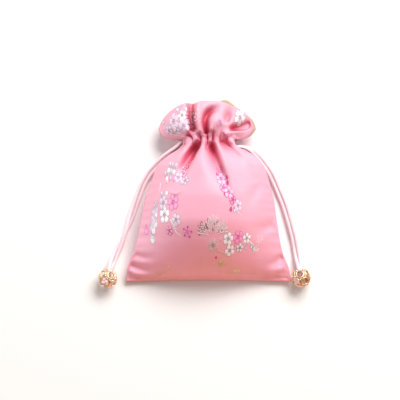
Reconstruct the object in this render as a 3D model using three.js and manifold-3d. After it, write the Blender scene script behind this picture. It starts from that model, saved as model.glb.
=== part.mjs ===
// A brocade drawstring pouch that lies on its back, closed, with its two drawcords laid out beside it.
// Millimetres, +Z up. X runs across the pouch and Y from its hem to its mouth; a station is the
// distance from the hem along the middle of the pouch, seen from above.
import * as THREE from "three";
import { mergeVertices } from "three/addons/utils/BufferGeometryUtils.js";
import Module from "manifold-3d";

const wasm = await Module();
wasm.setup();

// Driving dimensions
const CLOTH = 1.0; // brocade with its interlining
const LINING = 1.0;
const SEWN_GAP = 0.3; // between pieces that are sewn to each other
const ORIGIN_STATION = 54.95; // the station that lies over the origin
const NECK_STATION = 82; // middle of the drawstring casing
const PLEATS = 6; // gathers across each panel at the neck
const CORD_DIAMETER = 2.2;
const CORD_SIDES = 8;
const BEAD_DIAMETER = 11.8;
const BEAD_WALL = 1.0;
const WINDOW_DIAMETER = 4.6;
const CORD_HOLE_DIAMETER = 5.4;
const KNOT_RADIUS = 1.7;
const KNOT_STRAND = 0.75; // radius of the cord where the knot squeezes it

// Sections across the pouch. left and right are the half-widths, drop is how far the side seams lie
// behind the middle, seam is the height of the side seams, rise and sink are how far the front bulges
// above them and the back below them, round and flat are the exponents of those two bulges (0.5 is
// an ellipse, over 1 a pillow's edge), pleat is the depth of the gathers to each side of their middle
// and slit is half the height of the slit where the cords come out.
const SECTIONS = rowsOf(
  ["station", "left", "right", "drop", "seam", "rise", "sink", "round", "flat", "pleat", "slit"],
  [
    [0.0, 50.2, 49.8, 1.0, 2.6, 0.0, 0.0, 1.25, 0.9, 0.0, 0.0],
    [4.0, 50.0, 49.4, 0.6, 3.6, 6.6, 3.4, 1.25, 0.9, 0.0, 0.0],
    [9.0, 48.9, 47.9, 0.0, 5.2, 12.8, 6.4, 1.2, 0.9, 0.0, 0.0],
    [16.0, 46.2, 45.0, 0.0, 7.4, 19.4, 9.4, 1.15, 0.85, 0.0, 0.0],
    [24.0, 43.6, 43.2, 0.0, 9.2, 23.6, 11.4, 1.1, 0.8, 0.0, 0.0],
    [36.0, 41.2, 41.3, 0.0, 10.6, 25.8, 12.6, 1.05, 0.8, 0.0, 0.0],
    [48.0, 38.8, 39.6, 0.0, 11.2, 25.0, 13.0, 1.0, 0.8, 0.0, 0.0],
    [60.0, 34.8, 36.6, 0.0, 11.4, 22.2, 13.0, 0.95, 0.75, 0.1, 0.0],
    [69.0, 31.6, 33.4, 0.0, 12.0, 18.6, 12.8, 0.85, 0.7, 0.45, 0.0],
    [75.5, 24.8, 27.6, 0.0, 12.2, 14.8, 12.2, 0.65, 0.6, 0.9, 0.0],
    [79.2, 19.0, 20.8, 0.0, 12.2, 12.6, 11.8, 0.5, 0.5, 1.2, 3.3],
    [82.0, 17.0, 17.6, 0.0, 12.2, 12.0, 11.7, 0.5, 0.5, 1.2, 3.9],
    [84.8, 17.2, 17.2, 0.6, 12.2, 12.1, 11.7, 0.5, 0.5, 1.2, 3.9],
    [87.2, 18.8, 18.2, 2.2, 12.1, 12.8, 11.6, 0.55, 0.52, 1.1, 1.0],
    [91.0, 22.8, 20.0, 5.8, 11.4, 14.2, 11.0, 0.7, 0.6, 0.7, 0.0],
    [97.0, 27.4, 23.8, 10.0, 10.0, 15.4, 9.4, 0.9, 0.75, 0.3, 0.0],
    [103.5, 29.8, 27.0, 14.0, 9.0, 15.0, 8.2, 1.0, 0.8, 0.1, 0.0],
    [109.3, 30.4, 28.8, 17.2, 8.4, 13.4, 7.4, 1.05, 0.8, 0.0, 0.0],
  ],
);
const RIM_STATION = SECTIONS.at(-1).station;
const FAN_EXPONENT = 0.55; // of the curve that the sections of the ruffle follow, seen from above

// Folds that run out from the neck and in from the corners. Each goes from one station and place across
// to another, with its half-width at both ends; height is over the surface, less than 0 for a valley.
const FOLD_COLUMNS = ["name", "from", "fromX", "to", "toX", "fromHalf", "toHalf", "height"];
const FRONT_FOLDS = rowsOf(FOLD_COLUMNS, [
  ["middle_valley", 80, 2.6, 42, 16.5, 3.0, 6.5, -4.2],
  ["middle_ridge", 79.5, 7.4, 48, 20.5, 2.4, 4.4, 1.5],
  ["left_valley", 80, -6.2, 54, -21.0, 2.8, 5.6, -3.4],
  ["right_valley", 80, 12.6, 60, 24.5, 2.6, 5.0, -2.2],
  ["left_corner_crease", 10.5, -48, 5.5, -26, 1.8, 2.6, -1.6],
  ["left_side_crease", 17, -45, 14, -32, 1.8, 2.6, -1.3],
  ["right_corner_crease", 17, 44.5, 9, 31, 1.8, 3.0, -1.8],
  ["ruffle_left_valley", 85, -5.2, 116, -10.6, 2.2, 4.2, -3.8],
  ["ruffle_left_lobe", 86, -11, 114, -21, 3.0, 6.0, 1.8],
  ["ruffle_middle_valley", 85, -1.2, 114, 5.4, 2.0, 4.0, -3.4],
  ["ruffle_right_lobe", 87, 4.5, 111, 13.0, 2.6, 5.0, 2.2],
  ["ruffle_right_valley", 85, 12.4, 112, 23.5, 2.0, 3.8, -2.6],
]);
const BACK_FOLDS = rowsOf(FOLD_COLUMNS, [
  ["back_left_flute", 88, -9, 118, -17, 2.6, 5.0, 3.2],
  ["back_right_flute", 88, 6, 118, 11, 2.6, 5.0, 2.6],
  ["back_neck_hollow", 80, 2, 62, 4, 3.4, 7.0, 1.8],
]);
const FOLD_FADE_IN = 0.12; // share of a fold's length over which it grows
const FOLD_FADE_OUT = 0.55; // and over which it dies away
const FOLD_SEAM_FADE = 3.0; // no fold moves the side seams: it fades over this width

// How far the mouth lining stands in from the panels, at the sides and over its height
const LINING_INSETS = [
  { station: 78.8, side: 9.4, height: 8.2 },
  { station: 80.0, side: 8.4, height: 7.7 },
  { station: 82.0, side: 7.2, height: 7.1 },
  { station: 85.6, side: 7.9, height: 7.2 },
  { station: 88.0, side: 8.6, height: 6.6 },
  { station: 92.0, side: 11.6, height: 4.2 },
  { station: 98.0, side: 9.4, height: 2.7 },
  { station: 108.4, side: 5.6, height: 2.3 },
];

// The two tails of each drawcord, side by side from the slit to the bead: the middle of the pair, and
// roll, the angle of the pair about its own line (0 is side by side, 90 is one above the other).
const TAIL_SPACING = 2.45;
const TAILS = {
  left: [
    { x: -16.6, station: 83.4, z: 12.2, roll: 90 },
    { x: -20.2, station: 82.3, z: 11.7, roll: 80 },
    { x: -24.3, station: 79.0, z: 9.5, roll: 50 },
    { x: -28.5, station: 74.7, z: 6.3, roll: 24 },
    { x: -32.8, station: 69.9, z: 3.7, roll: 8 },
    { x: -36.8, station: 65.2, z: 2.0, roll: 0 },
    { x: -40.6, station: 59.0, z: 1.4, roll: 0 },
    { x: -43.3, station: 52.0, z: 1.4, roll: 0 },
    { x: -45.8, station: 44.8, z: 1.5, roll: 10 },
    { x: -48.1, station: 37.5, z: 2.0, roll: 40 },
    { x: -50.7, station: 30.2, z: 2.5, roll: 90 },
    { x: -53.8, station: 22.9, z: 2.0, roll: 140 },
    { x: -57.0, station: 16.0, z: 1.8, roll: 172 },
    { x: -58.9, station: 11.0, z: 3.2, roll: 180 },
    { x: -60.0, station: 7.2, z: 5.2, roll: 180 },
    { x: -60.75, station: 4.35, z: 5.9, roll: 180 },
  ],
  right: [
    { x: 17.0, station: 80.6, z: 12.2, roll: 90 },
    { x: 21.2, station: 80.6, z: 11.7, roll: 78 },
    { x: 25.8, station: 79.0, z: 9.7, roll: 50 },
    { x: 30.2, station: 75.4, z: 6.8, roll: 24 },
    { x: 34.8, station: 70.2, z: 3.8, roll: 8 },
    { x: 39.2, station: 63.6, z: 1.9, roll: 0 },
    { x: 43.2, station: 54.6, z: 1.4, roll: 0 },
    { x: 46.4, station: 46.7, z: 1.4, roll: 0 },
    { x: 48.6, station: 39.6, z: 1.5, roll: 8 },
    { x: 50.5, station: 32.8, z: 1.6, roll: 14 },
    { x: 52.6, station: 24.0, z: 1.5, roll: 6 },
    { x: 53.9, station: 16.4, z: 1.7, roll: 0 },
    { x: 54.9, station: 11.2, z: 3.2, roll: 0 },
    { x: 55.5, station: 7.4, z: 5.2, roll: 0 },
    { x: 55.77, station: 4.72, z: 5.9, roll: 0 },
  ],
};
const BEADS = {
  left: { x: -61.7, station: 0.8, axis: [-0.26, -0.96], roll: 23 },
  right: { x: 56.2, station: 1.1, axis: [0.12, -0.99], roll: 63 },
};

// The back of the mouth stands out past the front at one place, where its lining shows
const BACK_RIM_PEAK = { x: 11, half: 5, reach: 3.2, from: 96 };

// Finishes
const BROCADE = { color: 0xf0a9bd, roughness: 0.42, metalness: 0 };
const LINING_SATIN = { color: 0xd9b98a, roughness: 0.5, metalness: 0 };
const CORD_SATIN = { color: 0xf2b8cd, roughness: 0.45, metalness: 0 };
const GILT = { color: 0xd9a45c, roughness: 0.32, metalness: 1 };

// Rows of a table, each with its values under the names of the columns.
function rowsOf(names, rows) {
  return rows.map((row) => Object.fromEntries(names.map((name, k) => [name, row[k]])));
}

// A column of a table at a station, on a smooth curve that never overshoots its rows.
function column(table, name, station) {
  const last = table.length - 1;
  if (station <= table[0].station) return table[0][name];
  if (station >= table[last].station) return table[last][name];
  const i = table.findIndex((row) => row.station > station) - 1;
  const step = (k, key) => table[k + 1][key] - table[k][key];
  const slope = (k) => step(k, name) / step(k, "station");
  const tangent = (k) => {
    if (k === 0 || k === last) return k === 0 ? slope(0) : slope(last - 1);
    const [before, after] = [slope(k - 1), slope(k)];
    return before * after > 0 ? (2 * before * after) / (before + after) : 0;
  };
  const span = step(i, "station");
  const t = (station - table[i].station) / span;
  const [a, b] = [table[i][name], table[i + 1][name]];
  return (
    a * (1 + 2 * t) * (1 - t) ** 2 +
    b * t * t * (3 - 2 * t) +
    span * t * (1 - t) * (tangent(i) * (1 - t) - tangent(i + 1) * t)
  );
}

function smooth(share) {
  const t = THREE.MathUtils.clamp(share, 0, 1);
  return t * t * (3 - 2 * t);
}

// Height of all the folds of a face over its plain surface.
function foldHeight(folds, x, station) {
  let height = 0;
  for (const fold of folds) {
    const along = (station - fold.from) / (fold.to - fold.from);
    if (along <= 0 || along >= 1) continue;
    const middle = THREE.MathUtils.lerp(fold.fromX, fold.toX, along);
    const half = THREE.MathUtils.lerp(fold.fromHalf, fold.toHalf, along);
    const share = smooth(along / FOLD_FADE_IN) * smooth((1 - along) / FOLD_FADE_OUT);
    height += fold.height * share * Math.exp(-(((x - middle) / half) ** 2));
  }
  return height;
}

function backRimReach(x, station) {
  const peak = BACK_RIM_PEAK;
  const grown = smooth((station - peak.from) / (RIM_STATION - peak.from));
  return peak.reach * grown * Math.exp(-(((x - peak.x) / peak.half) ** 2));
}

// A point of the front (side 1) or back (side -1) at an angle from the left seam, 0, to the right one,
// pi. inset gives how far in from the panel's outside it lies, at the sides and over its height.
function facePoint(side, angle, station, inset) {
  const value = (name) => column(SECTIONS, name, station);
  const bulge = value(side > 0 ? "rise" : "sink") - inset.height;
  const exponent = value(side > 0 ? "round" : "flat");
  const lined = inset.height > 0; // the lining has no slit or gathers, and no folds below the neck
  const slit = lined || bulge === 0 ? 0 : value("slit") / bulge;
  const reach = -Math.cos(angle) * Math.sqrt(1 - slit * slit);
  const half = value(reach < 0 ? "left" : "right");
  const x = reach * (half - inset.side);
  const arch = Math.max(0, 1 - reach * reach);
  const fan = Math.max(0, 1 - (x / half) ** 2) ** FAN_EXPONENT;
  const rimReach = side < 0 ? backRimReach(x, station) : 0;
  const y = station - value("drop") * (1 - fan) + rimReach - ORIGIN_STATION;
  const lift = SEWN_GAP / 2 + CLOTH * THREE.MathUtils.clamp((exponent - 0.5) / 0.5, 0, 1);
  const folded = lined && station < NECK_STATION ? 0 : smooth((half - Math.abs(x)) / FOLD_SEAM_FADE);
  const folds = folded * foldHeight(side > 0 ? FRONT_FOLDS : BACK_FOLDS, x, station);
  let z = value("seam") + side * (lift + bulge * arch ** exponent) + folds;
  const depth = lined ? 0 : value("pleat") * Math.sin(angle);
  const gather = depth * (Math.cos(2 * PLEATS * angle) - 1);
  const out = new THREE.Vector2(x, z - value("seam")).normalize();
  z += gather * out.y;
  if (side < 0) z = Math.max(z, lined ? CLOTH + SEWN_GAP : 0);
  return new THREE.Vector3(x + gather * out.x, y, z);
}

// A closed sheet of cloth: rows of points on its outside, thickened towards the inside of the pouch.
// The inside never crosses the plane of the seams.
function clothSheet(side, angles, stations, insetAt, thickness) {
  const rows = stations.map((s) => angles.map((a) => facePoint(side, a, s, insetAt(s))));
  const [lastRow, lastColumn] = [stations.length - 1, angles.length - 1];
  const inner = rows.map((row, i) =>
    row.map((point, j) => {
      const across = row[Math.min(j + 1, lastColumn)].clone().sub(row[Math.max(j - 1, 0)]);
      const along = rows[Math.min(i + 1, lastRow)][j].clone().sub(rows[Math.max(i - 1, 0)][j]);
      const inward = along.cross(across).normalize().multiplyScalar(side * thickness);
      const moved = point.clone().add(inward);
      const limit = column(SECTIONS, "seam", stations[i]) + (side * SEWN_GAP) / 2;
      moved.z = side > 0 ? Math.max(moved.z, limit) : Math.min(moved.z, limit);
      return moved;
    }),
  );
  const positions = [...rows, ...inner].flat().flatMap((p) => p.toArray());
  const width = angles.length;
  const outside = (i, j) => i * width + j;
  const inside = (i, j) => (stations.length + i) * width + j;
  const triangles = [];
  const quad = (a, b, c, d) => triangles.push(...(side > 0 ? [a, b, c, a, c, d] : [a, c, b, a, d, c]));
  for (let i = 0; i < lastRow; i++) {
    const n = i + 1;
    for (let j = 0; j < lastColumn; j++) {
      quad(outside(i, j), outside(i, j + 1), outside(n, j + 1), outside(n, j));
      quad(inside(i, j), inside(n, j), inside(n, j + 1), inside(i, j + 1));
    }
    quad(outside(i, 0), outside(n, 0), inside(n, 0), inside(i, 0));
    quad(outside(i, lastColumn), inside(i, lastColumn), inside(n, lastColumn), outside(n, lastColumn));
  }
  for (let j = 0; j < lastColumn; j++) {
    quad(outside(0, j), inside(0, j), inside(0, j + 1), outside(0, j + 1));
    quad(outside(lastRow, j), outside(lastRow, j + 1), inside(lastRow, j + 1), inside(lastRow, j));
  }
  return new THREE.BufferGeometry()
    .setAttribute("position", new THREE.Float32BufferAttribute(positions, 3))
    .setIndex(triangles);
}

// Evenly spaced angles from seam to seam.
function seamToSeam(steps) {
  return Array.from({ length: steps + 1 }, (_, j) => (Math.PI * j) / steps);
}

// Stations from one to another, in even steps.
function evenStations(from, to, steps) {
  return Array.from({ length: steps + 1 }, (_, i) => THREE.MathUtils.lerp(from, to, i / steps));
}

// Stations of a panel: wide steps over the body, close ones round the neck, wider ones over the ruffle.
function panelStations(bodySteps, neckSteps, ruffleSteps) {
  const [neckFrom, neckTo] = [70, 90];
  return [
    ...evenStations(0, neckFrom, bodySteps),
    ...evenStations(neckFrom, neckTo, neckSteps).slice(1),
    ...evenStations(neckTo, RIM_STATION, ruffleSteps).slice(1),
  ];
}

function panel(name, side, columns, stations) {
  const geometry = clothSheet(side, seamToSeam(columns), stations, () => ({ side: 0, height: 0 }), CLOTH);
  return named(name, geometry, BROCADE);
}

function mouthLining(name, side, columns, rows) {
  const stations = evenStations(LINING_INSETS[0].station, LINING_INSETS.at(-1).station, rows);
  const insetAt = (s) => ({
    side: column(LINING_INSETS, "side", s),
    height: column(LINING_INSETS, "height", s),
  });
  return named(name, clothSheet(side, seamToSeam(columns), stations, insetAt, LINING), LINING_SATIN);
}

function named(name, geometry, finish) {
  const mesh = new THREE.Mesh(geometry, new THREE.MeshStandardMaterial(finish));
  mesh.name = name;
  return mesh;
}

// The tail of a drawcord on one side of its pair's line (sign 1 or -1), from the slit to the bead.
function tailPoints(rows, sign) {
  const middles = rows.map((row) => new THREE.Vector3(row.x, row.station - ORIGIN_STATION, row.z));
  return middles.map((middle, i) => {
    const ahead = middles[Math.min(i + 1, middles.length - 1)].clone().sub(middles[Math.max(i - 1, 0)]);
    const beside = new THREE.Vector3(ahead.y, -ahead.x, 0).normalize();
    const roll = THREE.MathUtils.degToRad(rows[i].roll);
    const offset = beside.multiplyScalar(Math.cos(roll)).add(new THREE.Vector3(0, 0, Math.sin(roll)));
    return middle.clone().addScaledVector(offset, (sign * TAIL_SPACING) / 2);
  });
}

// The stretch of a drawcord inside the casing: round the neck from its slit and back to it.
function casingPoints(slitSign, station) {
  const neck = (name) => column(SECTIONS, name, NECK_STATION);
  const clear = 2 * neck("pleat") + CLOTH + 2 * SEWN_GAP + CORD_DIAMETER / 2;
  const acrossHalf = (neck("left") + neck("right")) / 2 - clear;
  const heightHalf = neck("rise") - clear;
  const [first, last, steps] = [30, 330, 16];
  return Array.from({ length: steps + 1 }, (_, i) => {
    const angle = THREE.MathUtils.degToRad(THREE.MathUtils.lerp(first, last, i / steps));
    return new THREE.Vector3(
      slitSign * acrossHalf * Math.cos(angle),
      station - ORIGIN_STATION,
      neck("seam") + heightHalf * Math.sin(angle),
    );
  });
}

// One drawcord, whole: up one tail from its bead, round the neck in the casing, and down the other tail.
function drawcord(name, rows, slitSign) {
  const upper = tailPoints(rows, 1);
  const lower = tailPoints(rows, -1);
  const route = [...upper.reverse(), ...casingPoints(slitSign, rows[0].station), ...lower];
  const path = new THREE.CatmullRomCurve3(route, false, "centripetal");
  const section = new THREE.Shape(
    Array.from({ length: CORD_SIDES }, (_, k) => {
      const angle = (2 * Math.PI * k) / CORD_SIDES;
      return new THREE.Vector2(Math.cos(angle), Math.sin(angle)).multiplyScalar(CORD_DIAMETER / 2);
    }),
  );
  const steps = Math.round(path.getLength() / (2.8 * CORD_DIAMETER));
  const geometry = new THREE.ExtrudeGeometry(section, { steps, extrudePath: path, bevelEnabled: false });
  return named(name, geometry, CORD_SATIN);
}

// A geometry as a solid that can be cut, and the geometry of such a solid.
function solidOf(geometry) {
  const bare = geometry.clone().deleteAttribute("normal").deleteAttribute("uv");
  const merged = mergeVertices(bare, 1e-4);
  return new wasm.Manifold(
    new wasm.Mesh({
      numProp: 3,
      vertProperties: new Float32Array(merged.attributes.position.array),
      triVerts: new Uint32Array(merged.index.array),
    }),
  );
}

function geometryOf(solid) {
  const mesh = solid.getMesh();
  return new THREE.BufferGeometry()
    .setAttribute("position", new THREE.BufferAttribute(mesh.vertProperties, 3))
    .setIndex(new THREE.BufferAttribute(mesh.triVerts, 1));
}

// A hollow ball pierced by twelve round windows, one to each corner of an icosahedron: the cord's hole
// is the pair on its own axis, +Y.
function beadGeometry() {
  const radius = BEAD_DIAMETER / 2;
  let ball = solidOf(new THREE.IcosahedronGeometry(radius, 2));
  ball = ball.subtract(solidOf(new THREE.IcosahedronGeometry(radius - BEAD_WALL, 1)));
  const ringTilt = Math.atan(2); // between the axis and the ring of windows round it
  const bores = [{ tilt: 0, turn: 0, diameter: CORD_HOLE_DIAMETER }];
  for (let k = 0; k < 5; k++) {
    bores.push({ tilt: ringTilt, turn: (2 * Math.PI * k) / 5, diameter: WINDOW_DIAMETER });
  }
  for (const bore of bores) {
    const tool = new THREE.CylinderGeometry(bore.diameter / 2, bore.diameter / 2, 2 * BEAD_DIAMETER, 10);
    tool.rotateX(bore.tilt).rotateY(bore.turn);
    ball = ball.subtract(solidOf(tool));
  }
  return geometryOf(ball);
}

// A bead with its knot inside, its hole turned towards the cord.
function bead(sideName, place) {
  const group = new THREE.Group();
  const along = new THREE.Vector3(-place.axis[0], -place.axis[1], 0).normalize();
  const turn = new THREE.Quaternion().setFromUnitVectors(new THREE.Vector3(0, 1, 0), along);
  const roll = new THREE.Quaternion().setFromAxisAngle(
    new THREE.Vector3(0, 1, 0),
    THREE.MathUtils.degToRad(place.roll),
  );
  group.quaternion.copy(turn).multiply(roll);
  group.position.set(place.x, place.station - ORIGIN_STATION, BEAD_DIAMETER / 2);
  group.add(named(`bead_${sideName}`, beadGeometry(), GILT));
  const knot = new THREE.TorusKnotGeometry(KNOT_RADIUS, KNOT_STRAND, 26, 6, 2, 3);
  group.add(named(`knot_${sideName}`, knot, CORD_SATIN));
  return group;
}

const pouch = new THREE.Group();
pouch.add(panel("front_panel", 1, 36, panelStations(11, 9, 6)));
pouch.add(panel("back_panel", -1, 24, panelStations(7, 6, 4)));
pouch.add(mouthLining("lining_front", 1, 18, 9));
pouch.add(mouthLining("lining_back", -1, 18, 9));
pouch.add(drawcord("drawcord_left", TAILS.left, -1));
pouch.add(drawcord("drawcord_right", TAILS.right, 1));
pouch.add(bead("left", BEADS.left));
pouch.add(bead("right", BEADS.right));

export default pouch;
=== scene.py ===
"""A brocade drawstring pouch lying on its back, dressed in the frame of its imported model.

Sizes in the tables are millimetres; the scene itself is in metres, +Z up. X runs across the pouch and
Y from its hem to its mouth. A station is the distance from the hem along the middle of the pouch, seen
from above.
"""

import logging
import math
from abc import ABC, abstractmethod
from dataclasses import dataclass, field
from enum import Enum

import bmesh
import bpy
import numpy as np
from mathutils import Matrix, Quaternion, Vector


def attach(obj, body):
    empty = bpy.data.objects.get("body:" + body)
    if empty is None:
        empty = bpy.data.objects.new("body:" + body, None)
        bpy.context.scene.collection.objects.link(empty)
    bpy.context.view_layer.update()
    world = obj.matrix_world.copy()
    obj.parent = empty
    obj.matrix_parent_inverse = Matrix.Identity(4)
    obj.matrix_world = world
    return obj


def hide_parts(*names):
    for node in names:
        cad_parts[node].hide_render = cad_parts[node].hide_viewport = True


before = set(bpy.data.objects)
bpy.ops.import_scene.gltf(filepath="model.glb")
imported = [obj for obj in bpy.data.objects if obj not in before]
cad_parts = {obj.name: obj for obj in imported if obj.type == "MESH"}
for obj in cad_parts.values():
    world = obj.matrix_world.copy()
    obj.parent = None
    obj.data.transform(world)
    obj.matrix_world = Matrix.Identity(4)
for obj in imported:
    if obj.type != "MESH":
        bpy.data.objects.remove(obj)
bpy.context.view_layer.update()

LOG = logging.getLogger("pouch")

# Metres in a millimetre, the way up, and the place in metres that the lamps look at
MM = 0.001
UP = (0.0, 0.0, 1.0)
POUCH_MIDDLE = (0.0, 0.0, 0.015)
# Stations of the frame's origin and of the casing's middle at the neck
ORIGIN_STATION = 54.95
NECK_STATION = 82.0
# Thickness of the brocade, and the gap between pieces that are sewn together
CLOTH = 1.0
SEWN_GAP = 0.3
# How far a rounded edge of cloth stands out, over its thickness, and a cord's end, over its radius
EDGE_ROUND = 0.3
CORD_TIP = 0.4
# Exponents of the rim's fan seen from above and of a half-round bulge
FAN_EXPONENT = 0.55
HALF_ROUND = 0.5
# Steps along a fold's curve, and grid steps to each side over which the cloth's slope is read
FOLD_STEPS = 39
SLOPE_STEPS = 2
# Blades of the hatched blossom, the angle that they fill, and how often one is dark
FAN_BLADES = 170
FAN_SPREAD = 3.1
FAN_DARK = 14
# Floats in a strewn figure, and the golden section and angle that spread things evenly
SPECKS = 14
GOLDEN_SHARE = 0.618
GOLDEN_ANGLE = 2.4
# Step along a twig, and its width at the end over that at the start
TWIG_STEP = 0.9
TWIG_END = 0.35
# Cosine between neighbouring windows of a bead, which lie as the corners of an icosahedron
ICOSAHEDRON_COS = math.sqrt(0.2)
# Scale at which the bands of Blender's wave texture lie one unit apart
WAVE_SCALE = 0.314
UV_NAME = "cloth"


class Face(Enum):
    """The two halves of the pouch; the value is the side of the seams that each one bulges to."""

    FRONT = 1
    BACK = -1


class Motif(Enum):
    """What a figure of the woven pattern shows."""

    BLOSSOM = "five petals, each with a fine line round it and a stamen"
    RINGED = "five rose petals with dark dots between their tips"
    DRAWN = "five petals that only have an outline, with stamens in each"
    FAN = "a large blossom seen from the side, its petals a fan hatched with fine floats"
    SIDE = "a plum blossom seen from the side, three petals"
    BUD = "one closed petal"
    LEAF = "a leaf in three slim blades"
    SPECKS = "loose short floats"


class Tint(Enum):
    """The weft colours that float over the ground where the pattern is."""

    WHITE = 0
    LILAC = 1
    SILVER = 2
    ROSE = 3
    MAGENTA = 4
    GOLD = 5
    INK = 6
    ORCHID = 7
    DOVE = 8


# Tables of the pouch's form


@dataclass(frozen=True)
class Section:
    """A section across the pouch.

    left and right are the half-widths, drop is how far the side seams lie behind the middle, seam is
    their height, rise and sink are how far the front bulges above them and the back below them, round
    and flat are the exponents of those bulges, pleat is the depth of the gathers to each side of their
    middle and slit is half the height of the slit where the cords come out.
    """

    station: float
    left: float
    right: float
    drop: float
    seam: float
    rise: float
    sink: float
    round: float
    flat: float
    pleat: float
    slit: float


SECTIONS = (
    Section(0.0, 50.2, 49.8, 1.0, 2.6, 0.0, 0.0, 1.25, 0.90, 0.0, 0.0),
    Section(4.0, 50.0, 49.4, 0.6, 3.6, 9.4, 3.4, 1.25, 0.90, 0.0, 0.0),
    Section(9.0, 48.9, 47.9, 0.0, 5.2, 14.8, 6.4, 1.20, 0.90, 0.0, 0.0),
    Section(16.0, 46.2, 45.0, 0.0, 7.4, 18.8, 9.4, 1.15, 0.85, 0.0, 0.0),
    Section(24.0, 43.6, 43.2, 0.0, 9.2, 22.2, 11.4, 1.10, 0.80, 0.0, 0.0),
    Section(36.0, 41.2, 41.3, 0.0, 10.6, 25.4, 12.6, 1.05, 0.80, 0.0, 0.0),
    Section(48.0, 38.8, 39.6, 0.0, 11.2, 25.0, 13.0, 1.00, 0.80, 0.0, 0.0),
    Section(60.0, 34.8, 36.6, 0.0, 11.4, 22.2, 13.0, 0.95, 0.75, 0.1, 0.0),
    Section(69.0, 31.6, 33.4, 0.0, 12.0, 18.6, 12.8, 0.85, 0.70, 0.45, 0.0),
    Section(75.5, 24.8, 27.6, 0.0, 12.2, 14.8, 12.2, 0.65, 0.60, 0.9, 0.0),
    Section(79.2, 19.0, 20.8, 0.0, 12.2, 12.6, 11.8, 0.50, 0.50, 1.2, 3.3),
    Section(82.0, 17.0, 17.6, 0.0, 12.2, 12.0, 11.7, 0.50, 0.50, 1.2, 3.9),
    Section(84.8, 17.2, 17.2, 0.6, 12.2, 12.1, 11.7, 0.50, 0.50, 1.2, 3.9),
    Section(87.2, 18.8, 18.2, 2.2, 12.1, 12.8, 11.6, 0.55, 0.52, 1.1, 1.0),
    Section(91.0, 22.8, 20.0, 5.8, 11.4, 14.2, 11.0, 0.70, 0.60, 0.7, 0.0),
    Section(97.0, 27.4, 23.8, 10.0, 10.0, 15.4, 9.4, 0.90, 0.75, 0.3, 0.0),
    Section(103.5, 29.8, 27.0, 14.0, 9.0, 15.0, 8.2, 1.00, 0.80, 0.1, 0.0),
    Section(109.3, 30.4, 28.8, 17.2, 8.4, 13.4, 7.4, 1.05, 0.80, 0.0, 0.0),
)
RIM_STATION = SECTIONS[-1].station


@dataclass(frozen=True)
class LiningInset:
    """How far the mouth lining stands in from the panels, at the sides and over its height."""

    station: float
    side: float
    height: float


LINING_INSETS = (
    LiningInset(78.8, 9.4, 11.8),
    LiningInset(80.0, 8.4, 11.4),
    LiningInset(82.0, 7.2, 10.8),
    LiningInset(85.6, 7.9, 10.2),
    LiningInset(88.0, 8.6, 8.6),
    LiningInset(92.0, 11.6, 4.6),
    LiningInset(98.0, 9.4, 2.7),
    LiningInset(108.4, 5.6, 2.3),
)


@dataclass(frozen=True)
class Fold:
    """A fold of the cloth along a curve seen from above.

    start, bend and end are places (x, distance from the hem); the curve starts at the first, ends at
    the last and passes the middle one halfway. half_start and half_end are its half-widths at the
    ends, height its height over the surface, less than 0 for a valley. lean makes its right bank
    steeper (over 0) or its left one, sharp under 2 turns a round fold into a crease, and the fades are
    the shares of its length over which it grows and dies away.
    """

    name: str
    start: tuple[float, float]
    bend: tuple[float, float]
    end: tuple[float, float]
    half_start: float
    half_end: float
    height: float
    lean: float = 0.0
    sharp: float = 2.0
    fade_in: float = 0.12
    fade_out: float = 0.55


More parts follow.
